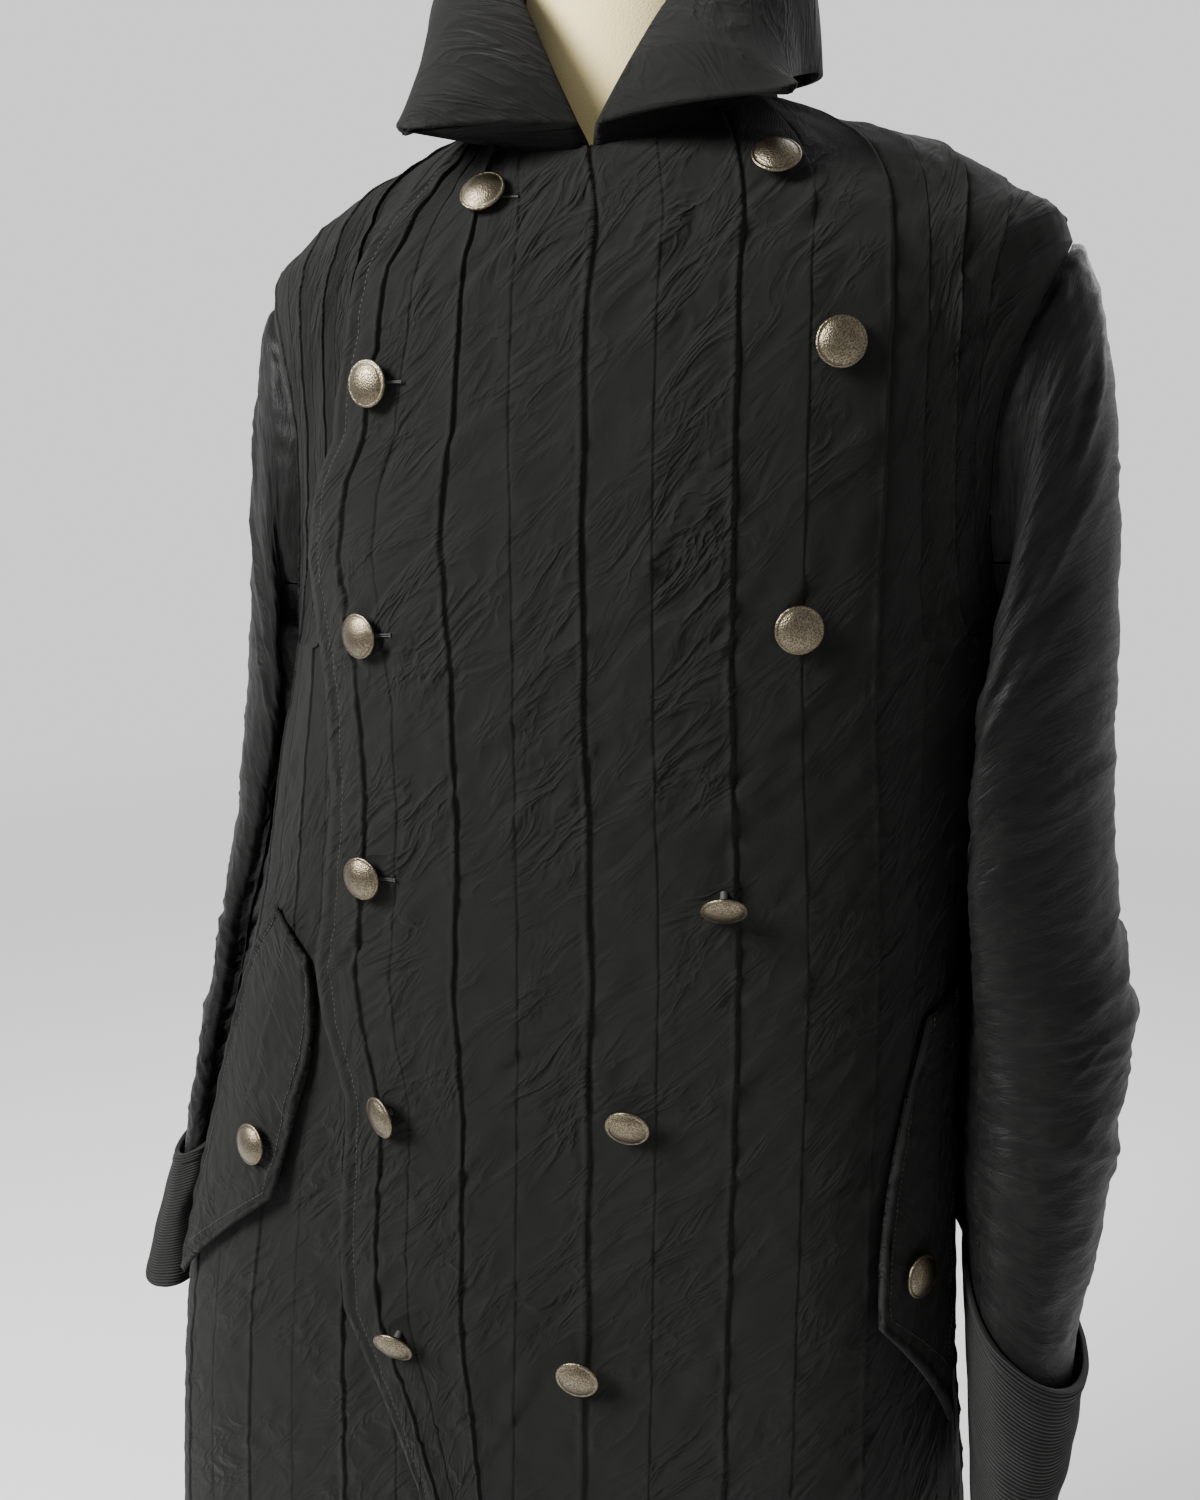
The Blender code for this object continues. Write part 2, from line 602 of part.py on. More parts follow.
def flap(name, table, side, rows=8, cols=5):
    r = np.linspace(0.0, len(table) - 1.0, rows)
    edge = spline(table, r)
    c = np.linspace(0.0, 1.0, cols)
    v = edge[:, 0:1] * (1 - c) + edge[:, 2:3] * c
    u = edge[:, 1:2] * (1 - c) + edge[:, 3:4] * c
    theta = angle_at(v, u)
    base, normal = body_point(v, theta), body_normal(v, theta)
    under = upper_lift(v, u) if side > 0 else np.zeros_like(u)
    down = (r / r[-1])[:, None]
    flare = FLAP_FLARE * down ** 1.5 * (1 - 0.5 * c)
    lift = under + BODY_WALL + TUCK_RISE + FLAP_GAP + flare
    inner = base + normal * lift[..., None]
    outer = inner + normal * FLAP_WALL
    return wall(name, inner, outer, COAT_CLOTH)


flap_left = flap("pocket_flap_left", FLAP_LEFT, 1)
flap_right = flap("pocket_flap_right", FLAP_RIGHT, -1)


# Buttons: columns name, section, distance from the centre front, droop and swing in degrees, height of the head
BUTTONS = (
    ("button_l1", 10.07, 0.088, 0.0, 0.0, 0.004),
    ("button_l2", 7.53, 0.118, 0.0, 0.0, 0.004),
    ("button_l3", 6.11, 0.102, 0.0, 0.0, 0.004),
    ("button_l4", 4.36, 0.068, 38.0, 0.0, 0.0085),
    ("button_l5", 3.30, 0.022, 25.0, 0.0, 0.0065),
    ("button_l6", 2.21, -0.002, 15.0, 0.0, 0.0055),
    ("button_r1", 10.10, -0.056, 0.0, 0.0, 0.004),
    ("button_r2", 7.43, -0.114, 0.0, 0.0, 0.004),
    ("button_r3", 6.10, -0.126, 0.0, 0.0, 0.004),
    ("button_r4", 4.40, -0.130, 0.0, 0.0, 0.004),
    ("button_r5", 3.23, -0.118, 10.0, -25.0, 0.0065),
    ("button_r6", 2.23, -0.110, 30.0, 0.0, 0.0075),
)
FLAP_BUTTONS = (
    ("button_flap_l", 2.50, 0.180, 0.0, 0.0, 0.004),
    ("button_flap_r", 2.94, -0.212, 0.0, 0.0, 0.004),
)
# columns: radius, height over the head's underside
HEAD = (
    (0.0118, 0.0000),
    (0.0122, 0.0012),
    (0.0108, 0.0026),
    (0.0065, 0.0045),
)
HEAD_TOP = 0.0052
SHANK_RADIUS = 0.0024
BUTTON_SIDES = 12


def drop(points, carrier, normal):
    """How far the points can move against the normal before one is a seam gap from the carrier's cloth."""
    mesh = carrier.data
    tree = BVHTree.FromPolygons([v.co for v in mesh.vertices], [tuple(f.vertices) for f in mesh.polygons])
    reach = [tree.ray_cast(Vector(p), -Vector(normal)) for p in points]
    return min(hit[3] for hit in reach if hit[0] is not None) - SEAM_GAP


def button(name, carrier, foot, normal, droop, swing, height):
    normal = np.array(normal) / np.linalg.norm(normal)
    right = np.cross([0.0, 0.0, 1.0], normal)
    right /= np.linalg.norm(right)
    up = np.cross(normal, right)
    turn, side = math.radians(droop), math.radians(swing)
    axis = (normal * math.cos(side) + right * math.sin(side)) * math.cos(turn) - up * math.sin(turn)
    axis /= np.linalg.norm(axis)
    first = np.cross(axis, up if abs(axis @ up) < 0.9 else normal)
    first /= np.linalg.norm(first)
    second = np.cross(axis, first)
    head = foot + normal * height
    facing = float(axis @ normal)
    shank = height / facing - SHANK_RADIUS * math.sqrt(1 - min(facing * facing, 1.0)) / facing - 0.0002
    rings = [(SHANK_RADIUS, -shank), (SHANK_RADIUS, 0.0)] + list(HEAD)
    points, faces = [head - axis * shank], []
    for radius, rise_up in rings:
        for k in range(BUTTON_SIDES):
            t = 2 * math.pi * k / BUTTON_SIDES
            points.append(head + axis * rise_up + (first * math.cos(t) + second * math.sin(t)) * radius)
    points.append(head + axis * HEAD_TOP)
    for k in range(BUTTON_SIDES):
        n = (k + 1) % BUTTON_SIDES
        faces.append((0, 1 + n, 1 + k))
        for r in range(len(rings) - 1):
            a, b = 1 + r * BUTTON_SIDES + k, 1 + r * BUTTON_SIDES + n
            faces.append((a, b, b + BUTTON_SIDES, a + BUTTON_SIDES))
        last = 1 + (len(rings) - 1) * BUTTON_SIDES
        faces.append((last + k, last + n, len(points) - 1))
    points = np.array(points)
    return solid(name, points - normal * drop(points, carrier, normal), faces, BUTTON_METAL)


BUTTON_START = 0.020
CARRIERS = {1: flap_left, -1: flap_right}

for name, section, distance, droop, swing, height in BUTTONS + FLAP_BUTTONS:
    v, u = np.array([section]), np.array([distance])
    theta = angle_at(v, u)
    base, normal = body_point(v, theta)[0], body_normal(v, theta)[0]
    carrier = CARRIERS[int(np.sign(distance))] if "flap" in name else front_left
    start = base + normal * (UPPER_LIFT + BUTTON_START)
    button(name, carrier, start, normal, droop, swing, height)


# Dress form, same columns as the body sections
BUST = (
    (0.800, 0.800, 0.800, 0.145, 0.150, 0.100, 0.105, 2.30, 1.0),
    (0.803, 0.803, 0.803, 0.158, 0.168, 0.112, 0.118, 2.30, 1.0),
    (0.830, 0.830, 0.830, 0.164, 0.175, 0.116, 0.124, 2.30, 1.0),
    (0.910, 0.910, 0.910, 0.166, 0.178, 0.116, 0.126, 2.30, 1.0),
    (1.030, 1.030, 1.030, 0.156, 0.156, 0.106, 0.108, 2.25, 1.0),
    (1.135, 1.135, 1.135, 0.166, 0.166, 0.114, 0.112, 2.20, 1.0),
    (1.215, 1.205, 1.215, 0.184, 0.184, 0.124, 0.120, 2.20, 1.0),
    (1.320, 1.315, 1.310, 0.203, 0.197, 0.132, 0.128, 2.35, 1.0),
    (1.375, 1.405, 1.385, 0.218, 0.206, 0.128, 0.118, 2.40, 1.0),
) + SECTIONS[9:] + (
    (1.464, 1.503, 1.510, 0.068, 0.068, 0.073, 0.057, 2.00, 1.0),
    (1.484, 1.518, 1.524, 0.061, 0.061, 0.064, 0.053, 2.00, 1.0),
    (1.530, 1.540, 1.543, 0.058, 0.058, 0.060, 0.052, 2.00, 1.0),
    (1.610, 1.610, 1.610, 0.058, 0.058, 0.060, 0.052, 2.00, 1.0),
)
BUST_GAP = 0.0040
BUST_FOOT = 0.785
FORM_SIDES = 36


def closed_shape(name, rings, material):
    count = len(rings[0])
    points = np.concatenate(rings)
    faces = [tuple(range(count))[::-1], tuple((len(rings) - 1) * count + k for k in range(count))]
    for r in range(len(rings) - 1):
        for k in range(count):
            a, b = r * count + k, r * count + (k + 1) % count
            faces.append((a, b, b + count, a + count))
    return solid(name, points, faces, material)


bust_rows = np.concatenate([[0, 1, 1.5, 2], np.arange(3.0, 12.1, 0.5), [13, 14, 15, 16]])
bust_turns = np.linspace(-math.pi, math.pi, FORM_SIDES, endpoint=False)
bust_rings = []
for v in bust_rows:
    rows = np.full(len(bust_turns), v)
    base = body_point(rows, bust_turns, BUST)
    inward = body_normal(np.clip(rows, 0, V_NECK), bust_turns)
    bust_rings.append(base - inward * BUST_GAP * (8.0 <= v <= 12.5))
bust_rings[0][:, 2] = BUST_FOOT
closed_shape("form_bust", bust_rings, FORM_COVER)

NECK_TOP = float(bust_rings[-1][:, 2].max())
NECK_MIDDLE = bust_rings[-1].mean(axis=0)
CAP_HEIGHT = 0.010
POLE_RADIUS = 0.016
BASE_RADIUS = 0.190
BASE_HEIGHT = 0.016
HUB_RADIUS = 0.032
HUB_HEIGHT = 0.050


def turned(name, middle, profile, sides, material):
    turns = np.linspace(0.0, 2 * math.pi, sides, endpoint=False)
    rings = []
    for radius, z in profile:
        x, y = middle[0] + radius * np.cos(turns), middle[1] + radius * np.sin(turns)
        rings.append(np.stack([x, y, np.full(sides, z)], -1))
    return closed_shape(name, rings, material)


cap_foot = NECK_TOP + SEAM_GAP
cap_profile = ((0.054, cap_foot), (0.054, cap_foot + 0.006), (0.046, cap_foot + CAP_HEIGHT))
turned("form_cap", NECK_MIDDLE, cap_profile, 28, STAND_METAL)
pole_foot = HUB_HEIGHT + SEAM_GAP
pole_top = BUST_FOOT - SEAM_GAP
turned("form_pole", (0.0, 0.0), ((POLE_RADIUS, pole_foot), (POLE_RADIUS, pole_top)), 20, STAND_METAL)
base_profile = (
    (BASE_RADIUS - 0.002, 0.0),
    (BASE_RADIUS, 0.003),
    (BASE_RADIUS, BASE_HEIGHT - 0.004),
    (BASE_RADIUS - 0.006, BASE_HEIGHT),
    (HUB_RADIUS, BASE_HEIGHT + 0.006),
    (HUB_RADIUS - 0.004, HUB_HEIGHT),
)
turned("form_base", (0.0, 0.0), base_profile, 40, STAND_METAL)
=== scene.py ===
import math

import bpy
import bmesh
import numpy as np
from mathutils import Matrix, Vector


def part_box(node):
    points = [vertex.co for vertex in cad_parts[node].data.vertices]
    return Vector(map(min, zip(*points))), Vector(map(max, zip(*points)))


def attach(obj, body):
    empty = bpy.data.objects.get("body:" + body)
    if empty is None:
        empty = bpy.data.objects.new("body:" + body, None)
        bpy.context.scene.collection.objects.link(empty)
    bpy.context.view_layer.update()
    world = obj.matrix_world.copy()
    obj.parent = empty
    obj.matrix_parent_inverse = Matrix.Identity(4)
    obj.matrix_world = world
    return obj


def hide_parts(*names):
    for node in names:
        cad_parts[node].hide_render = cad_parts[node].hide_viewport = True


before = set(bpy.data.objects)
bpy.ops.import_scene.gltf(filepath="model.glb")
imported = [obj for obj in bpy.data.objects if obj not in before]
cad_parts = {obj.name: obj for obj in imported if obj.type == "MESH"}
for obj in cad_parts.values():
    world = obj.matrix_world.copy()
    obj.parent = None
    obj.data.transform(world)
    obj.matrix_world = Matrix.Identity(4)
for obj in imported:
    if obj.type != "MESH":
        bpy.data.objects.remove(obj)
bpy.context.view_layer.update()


SIDES = ((1, "left"), (-1, "right"))
WELD = 0.00002


def add_object(name, data):
    piece = bpy.data.objects.new(name, data)
    bpy.context.scene.collection.objects.link(piece)
    return piece


# CAMERA
# Eye height and angle of the photograph: a near view, a little from the wearer's left,
# looking down on the chest, cut off above the hem.
camera_data = bpy.data.cameras.new("camera")
camera_data.lens = 33.58
camera_data.sensor_width = 36.0
camera_data.shift_y = -0.0567
camera_data.clip_start = 0.05
camera = add_object("camera", camera_data)
camera.location = (0.1677, -0.8033, 1.340)
camera.rotation_euler = (math.radians(79.0), 0.0, math.radians(14.0))
bpy.context.scene.camera = camera


# FRONT AND BACK PANELS
# The coat body is cut in three: upper front, under front and back. Strips of twill and of crepe wool,
# about 33 mm wide, are joined by pressed tucks, so every second join stands up as a sharp fold.
SECTIONS = (
    # front z, side z, back z, left half, right half, front depth, back depth, corner power, strip scale
    (0.360, 0.360, 0.360, 0.224, 0.330, 0.158, 0.165, 2.40, 1.075),
    (0.570, 0.570, 0.570, 0.213, 0.322, 0.150, 0.157, 2.45, 1.070),
    (0.780, 0.780, 0.780, 0.193, 0.308, 0.142, 0.147, 2.50, 1.065),
    (0.920, 0.920, 0.920, 0.186, 0.275, 0.134, 0.136, 2.45, 1.062),
    (1.045, 1.045, 1.045, 0.185, 0.242, 0.127, 0.127, 2.40, 1.058),
    (1.140, 1.140, 1.140, 0.194, 0.224, 0.134, 0.130, 2.25, 1.020),
    (1.215, 1.205, 1.215, 0.204, 0.209, 0.140, 0.134, 2.20, 1.000),
    (1.320, 1.315, 1.310, 0.211, 0.204, 0.139, 0.135, 2.35, 1.000),
    (1.375, 1.405, 1.385, 0.226, 0.214, 0.132, 0.122, 2.40, 1.000),
    (1.408, 1.434, 1.425, 0.194, 0.192, 0.122, 0.108, 2.45, 1.000),
    (1.430, 1.459, 1.455, 0.154, 0.156, 0.110, 0.092, 2.35, 1.000),
    (1.446, 1.476, 1.478, 0.113, 0.115, 0.098, 0.078, 2.20, 1.000),
    (1.456, 1.492, 1.500, 0.080, 0.080, 0.087, 0.066, 2.00, 1.000),
)
UNDERARM, TIP, NECK = 6.0, 8.0, 12.0
PAIR, TWILL_WIDTH, TWILL_SHARE = 0.0714, 0.0334, 0.468
HEM_Z, UNDERARM_Z, ROW_STEP = 0.360, 1.204, 0.0042
RISE_TO_LEFT = 0.055
BODY_WALL = 0.0018
SEAM_GAP = 0.0003
UPPER_LIFT, LIFT_START, LIFT_FADE = 0.0052, 0.008, 0.045
ARM_CUT_FRONT = {1: 0.075, -1: 0.078}
ARM_CUT_BACK = 0.042
ARM_POWER = 0.40
FREE_EDGE = (
    (0.00, -0.125), (1.00, -0.118), (1.70, -0.098), (2.00, -0.122), (2.30, -0.147), (2.60, -0.150),
    (3.00, -0.147), (3.25, -0.146), (3.60, -0.164), (3.85, -0.170), (4.10, -0.165), (4.85, -0.156),
    (5.70, -0.160), (6.20, -0.170), (6.50, -0.176), (6.80, -0.164), (7.05, -0.145), (7.80, -0.132),
    (8.70, -0.128), (9.50, -0.117), (10.25, -0.100), (11.00, -0.088), (12.00, -0.078),
)
FREE_EDGE_WIDEST, FREE_FOLD, FREE_STITCH = -0.158, -0.131, -0.149
HIDDEN_EDGE, HIDDEN_EDGE_NECK = 0.118, 0.075
ALLOWANCE, ALLOWANCE_DEPTH = 0.0045, 0.0034
EDGE_ROWS, HEM_ROWS = 4, 6


def spline(table, v):
    """Smooth curve through the rows of a table, at row numbers v."""
    table = np.asarray(table, float)
    v = np.clip(np.asarray(v, float), 0.0, len(table) - 1.0)
    i = np.minimum(v.astype(int), len(table) - 2)
    t = (v - i).reshape(v.shape + (1,) * (table.ndim - 1))
    padded = np.concatenate([[2 * table[0] - table[1]], table, [2 * table[-1] - table[-2]]])
    a, b, c, d = padded[i], padded[i + 1], padded[i + 2], padded[i + 3]
    bend, twist = 2 * a - 5 * b + 4 * c - d, 3 * b - a - 3 * c + d
    return 0.5 * (2 * b + (c - a) * t + bend * t * t + twist * t ** 3)


def smooth(t):
    t = np.clip(t, 0.0, 1.0)
    return t * t * (3 - 2 * t)


def bell(distance, width):
    return np.exp(-(distance / width) ** 2)


def fading(distance, reach):
    return np.exp(-np.abs(distance) / reach)


def unit(vectors, least=0.0):
    return vectors / (np.linalg.norm(vectors, axis=-1, keepdims=True) + least)


def run_lengths(steps):
    """Distance of each point from the start of a line, from the lengths of the steps between them."""
    return np.concatenate([[0.0], np.cumsum(steps)])


def body_point(v, theta):
    """Point on the coat body's form at section v, theta round from the centre front."""
    front_z, side_z, back_z, left, right, front, back, power = np.moveaxis(spline(SECTIONS, v), -1, 0)[:8]
    s, c = np.sin(theta), np.cos(theta)
    middle = -0.004 - 0.010 * smooth((v - 9.0) / 3.0)
    x = middle + np.where(s > 0, left, right) * np.sign(s) * np.abs(s) ** (2 / power)
    y = -np.where(c > 0, front, back) * np.sign(c) * np.abs(c) ** (2 / power)
    z = side_z + (np.where(c > 0, front_z, back_z) - side_z) * c * c
    return np.stack([x, y, z + RISE_TO_LEFT * x * smooth((z - 0.40) / 0.40)], -1)


def body_normal(v, theta):
    across = body_point(v, theta + 0.004) - body_point(v, theta - 0.004)
    up = body_point(np.clip(v + 0.004, 0, NECK), theta) - body_point(np.clip(v - 0.004, 0, NECK), theta)
    return unit(np.cross(across, up))


ARC_V = np.linspace(0.0, NECK, 721)
ARC_T = np.linspace(0.0, math.pi, 181)
ARCS = {}
for side in (1, -1):
    rings = body_point(ARC_V[:, None] + 0 * ARC_T, side * ARC_T[None, :] + 0 * ARC_V[:, None])
    steps = np.linalg.norm(np.diff(rings, axis=1), axis=-1)
    ARCS[side] = np.concatenate([np.zeros((len(ARC_V), 1)), np.cumsum(steps, axis=1)], axis=1)


def arcs_at(v, side):
    f = np.clip(np.asarray(v, float), 0, NECK) / NECK * (len(ARC_V) - 1)
    i = np.minimum(f.astype(int), len(ARC_V) - 2)
    t = (f - i)[..., None]
    return ARCS[side][i] * (1 - t) + ARCS[side][i + 1] * t


def angle_at(v, u, from_back=False):
    """Ring angle at a distance from the centre front, or from the centre back."""
    v, u = np.broadcast_arrays(np.asarray(v, float), np.asarray(u, float))
    shape, v, u = v.shape, v.ravel(), u.ravel()
    theta = np.empty(len(v))
    for side in (1, -1):
        chosen = np.flatnonzero((u >= 0) == (side > 0))
        for part in np.array_split(chosen, max(1, len(chosen) // 8000)):
            arcs = arcs_at(v[part], side)
            want = np.abs(u[part])
            if from_back:
                want = arcs[:, -1] - want
            want = np.clip(want, 0.0, arcs[:, -1])
            k = np.clip((arcs < want[:, None]).sum(axis=1), 1, len(ARC_T) - 1)
            row = np.arange(len(part))
            low, high = arcs[row, k - 1], arcs[row, k]
            theta[part] = side * (ARC_T[k - 1] + (ARC_T[k] - ARC_T[k - 1]) * (want - low) / (high - low))
    return theta.reshape(shape)


def side_arc(v, side, from_back=False):
    arcs = arcs_at(np.atleast_1d(v), side)
    half = arcs[:, (len(ARC_T) - 1) // 2]
    return arcs[:, -1] - half if from_back else half


def arm_cut(v, depth):
    w = np.clip((np.asarray(v, float) - UNDERARM) / (TIP - UNDERARM), 0.0, 1.0)
    return depth * (4 * w * (1 - w)) ** ARM_POWER


def free_edge(v):
    return np.interp(v, [row[0] for row in FREE_EDGE], [row[1] for row in FREE_EDGE])


def hidden_edge(v):
    return HIDDEN_EDGE + (HIDDEN_EDGE_NECK - HIDDEN_EDGE) * smooth((np.asarray(v, float) - TIP) / 3.0)


def armhole_edge(side, from_back):
    def edge(v):
        v = np.minimum(v, TIP)
        depth = ARM_CUT_BACK if from_back else ARM_CUT_FRONT[side]
        return side * (side_arc(v, side, from_back) - arm_cut(v, depth) - SEAM_GAP / 2)
    return edge


def upper_lift(v, u):
    past = np.abs(u) - (np.abs(hidden_edge(v)) + LIFT_START)
    return UPPER_LIFT * np.where(u > 0, 1 - smooth(past / LIFT_FADE), 1.0)


LOW_Z = np.arange(HEM_Z, UNDERARM_Z, ROW_STEP)
LOW_V = np.interp(LOW_Z, [row[1] for row in SECTIONS[:7]], range(7))
HIGH_T = np.interp(np.linspace(0.0, 11.0, 82), range(12),
                   [0, 0.008, 0.04, 0.12, 0.22, 0.35, 0.50, 0.66, 0.82, 0.92, 0.98, 1.0])


def rows_up_to(top):
    return np.concatenate([LOW_V[LOW_V < 5.98], UNDERARM + (top - UNDERARM) * HIGH_T])


def seam_section(u, side, from_back):
    test = np.linspace(TIP, NECK, 401)
    return float(np.interp(-abs(u), -(side_arc(test, side, from_back) - SEAM_GAP * 0.7), test))


def panel_grid(columns, left, right, from_back):
    """Strips run straight inside the panel, and bend with its edges beyond left's and right's first value."""

    def straight(s):
        top = seam_section(s, 1 if s > 0 else -1, from_back)
        if s < 0 and left[2] > TIP:
            top = min(top, left[2])
        v = rows_up_to(top)
        return v, s * spline(SECTIONS, v)[..., 8]

    grid = []
    for s in columns:
        edge, ref = (left, columns[0]) if s < 0 else (right, columns[-1])
        keep = edge[0]
        if abs(s) <= abs(keep):
            grid.append(straight(s))
            continue
        t = (s - keep) / (ref - keep)
        near_v, near_u = straight(keep)
        far_v = rows_up_to(edge[2])
        v, u = near_v + (far_v - near_v) * t, near_u + (edge[1](far_v) - near_u) * t
        if edge[2] == TIP:
            share = np.clip((v - UNDERARM) / (v[-1] - UNDERARM), 0.0, 1.0) ** 2
            v = v + share * (seam_section(u[-1], 1 if s > 0 else -1, from_back) - v[-1])
        grid.append((v, u))
    return np.array([v for v, _ in grid]).T, np.array([u for _, u in grid]).T


def strip_lines(low, high):
    """Fold edges and the flat joins between them, by their distance from the centre line."""
    first, last = math.ceil((low + 0.006) / PAIR), math.floor((high - 0.006) / PAIR)
    folds = [k * PAIR for k in range(first, last + 1)]
    joins = [k * PAIR + TWILL_WIDTH for k in range(-6, 6)]
    return folds, [join for join in joins if low + 0.008 < join < high - 0.004]


FOLD_COLUMNS = np.array([-6.0, -4.0, -2.9, -2.2, -1.6, -1.1, -0.7, -0.3, 0.1, 0.5, 0.9, 1.4, 2.0, 3.0]) / 1000
JOIN_COLUMNS = np.array([-2.4, -1.2, -0.5, 0.0, 0.5, 1.2, 2.4]) / 1000


def strip_columns(low, high, folds, joins, even=0.0050):
    """Places of the grid's columns, close together at folds and joins."""
    spots = set(np.round(np.linspace(low, high, int((high - low) / even)), 5))
    for lines, near, clear in ((folds, FOLD_COLUMNS, 0.0045), (joins, JOIN_COLUMNS, 0.0030)):
        for line in lines:
            spots = {s for s in spots if abs(s - line) > clear} | set(np.round(line + near, 5))
    return np.array(sorted(s for s in spots if low + 0.0004 < s < high - 0.0004 or s in (low, high)))


def waves(x, y, seed, length, count=9, stretch=(1.0, 1.0)):
    """Soft uneven relief between about -1 and 1, from a few crossing waves."""
    random = np.random.default_rng(seed)
    out = np.zeros(np.broadcast(x, y).shape)
    for _ in range(count):
        turn, phase = random.uniform(0, 2 * math.pi), random.uniform(0, 2 * math.pi)
        k = 2 * math.pi / (length * random.uniform(0.6, 1.7))
        out += np.sin(k * (x * math.cos(turn) / stretch[0] + y * math.sin(turn) / stretch[1]) + phase)
    return out / math.sqrt(count) / 1.2


def crease(x, y, across, along, slope, half_length, half_width, depth, bow=0.0):
    """One soft trough (depth below 0) or ridge, with a fainter shoulder beside it."""
    dx, dy = x - across, y - along
    c, s = math.cos(slope), math.sin(slope)
    run, side_way = dx * c + dy * s, -dx * s + dy * c
    side_way = side_way - bow * run * run
    ridge, shoulder = bell(side_way, half_width), bell(side_way + 1.9 * half_width, 1.3 * half_width)
    return depth * bell(run, half_length) * (ridge - 0.45 * shoulder)


def crease_all(x, y, creases):
    out = np.zeros(x.shape)
    for row in creases:
        reach = row[3] * 2.2
        near = (np.abs(x - row[0]) < reach) & (np.abs(y - row[1]) < reach)
        if near.any():
            out[near] += crease(x[near], y[near], *row)
    return out


def drag_creases(seed, low, high, bottom, top, count, slopes=(34.0, 66.0), depth=0.0019):
    """Short slanting pulls of the strips, longer and deeper here and there."""
    random = np.random.default_rng(seed)
    rows = []
    for _ in range(count):
        strong = random.uniform(0.25, 1.0) ** 1.6
        rows.append((random.uniform(low, high), random.uniform(bottom, top),
                     math.radians(random.uniform(*slopes)),
                     random.uniform(0.010, 0.034) * (0.6 + 0.7 * strong), random.uniform(0.0016, 0.0040),
                     depth * strong * random.choice((-1.0, 1.0, 1.0)), random.uniform(-6.0, 6.0)))
    return rows


def tuck_relief(s, z, folds, joins):
    """Sharp raised edge and shadow groove of each fold, a lower step at each join, puckered beside both."""
    out = np.zeros(s.shape)
    for n, fold in enumerate(folds):
        d = s - fold - 0.0007 * waves(z, 0 * z, 40 + n, 0.055, 5)
        top = np.clip(1 + d / 0.022, 0.0, 1.0) * smooth((0.0003 - d) / 0.0009)
        out += 0.0014 * top + 0.0005 * bell(d + 0.0017, 0.0013)
        out -= 0.0005 * bell(d - 0.0011, 0.0011)
        out += 0.00035 * waves(z, s, 60 + n, 0.013, 6) * fading(d, 0.0055)
    for n, join in enumerate(joins):
        d = s - join - 0.0003 * waves(z, 0 * z, 90 + n, 0.045, 5)
        out += 0.00042 * np.clip(1 + d / 0.010, 0.0, 1.0) * smooth((0.0002 - d) / 0.0006)
        out -= 0.00034 * bell(d - 0.0005, 0.0007)
        out += 0.00026 * waves(z, s, 110 + n, 0.010, 6) * fading(d, 0.0045)
    return out


def shade_smooth(mesh):
    mesh.polygons.foreach_set("use_smooth", np.ones(len(mesh.polygons), dtype=bool))


def sheet_mesh(name, points, normals, uv, material, closed=False):
    """One layer of cloth on a grid of points, with its cut laid out as UV in metres."""
    rows, cols = points.shape[:2]
    span = cols if closed else cols - 1
    i, j = np.meshgrid(np.arange(rows - 1), np.arange(span), indexing="ij")
    a, b = i * cols + j, i * cols + (j + 1) % cols
    quads = np.stack([a, b, b + cols, a + cols], -1).reshape(-1, 4)
    flat = points.reshape(-1, 3)
    face = np.cross(flat[quads[:, 2]] - flat[quads[:, 0]], flat[quads[:, 3]] - flat[quads[:, 1]])
    if (face * normals.reshape(-1, 3)[quads[:, 0]]).sum() < 0:
        quads = quads[:, ::-1]
    mesh = bpy.data.meshes.new(name)
    mesh.vertices.add(len(flat))
    mesh.vertices.foreach_set("co", flat.astype(np.float32).ravel())
    mesh.loops.add(quads.size)
    mesh.loops.foreach_set("vertex_index", quads.astype(np.int32).ravel())
    mesh.polygons.add(len(quads))
    mesh.polygons.foreach_set("loop_start", np.arange(0, quads.size, 4, dtype=np.int32))
    mesh.update(calc_edges=True)
    layer = mesh.uv_layers.new(name="cut")
    layer.data.foreach_set("uv", uv.reshape(-1, 2)[quads.ravel()].astype(np.float32).ravel())
    shade_smooth(mesh)
    mesh.materials.append(material)
    mesh.validate()
    return add_object(name, mesh)


def turned_under(sheet, edge, count, wall):
    """Adds the turning behind an edge: the cloth folds back and lies against its own inside."""
    points, normals, uv = sheet
    axis = 0 if edge == "bottom" else 1
    part = (slice(None),) * axis + (slice(count),)
    added = points[part] - normals[part] * wall, -normals[part], uv[part]
    return [np.concatenate([np.flip(new, axis), was], axis) for new, was in zip(added, sheet)]


def with_allowances(sheet):
    """Adds a seam allowance along both sides, tucked in behind the neighbouring panel."""
    for side, edge, inner in ((-1, 0, 3), (1, -1, -4)):
        points, normals, uv = sheet
        away = unit(points[:, edge] - points[:, inner])
        tucked = points[:, edge] + ALLOWANCE * away - ALLOWANCE_DEPTH * normals[:, edge]
        added = tucked, normals[:, edge], uv[:, edge] + np.array([side * ALLOWANCE, 0.0])
        sheet = [np.concatenate([new[:, None], was][::-side], 1) for new, was in zip(added, sheet)]
    return sheet


def node_group(name, inputs, outputs, kind="ShaderNodeTree"):
    group = bpy.data.node_groups.new(name, kind)
    for word, socket_kind, value in inputs:
        socket = group.interface.new_socket(name=word, in_out="INPUT", socket_type=socket_kind)
        if value is not None:
            socket.default_value = value
    for word, socket_kind in outputs:
        group.interface.new_socket(name=word, in_out="OUTPUT", socket_type=socket_kind)
    return group, group.nodes.new("NodeGroupInput"), group.nodes.new("NodeGroupOutput")


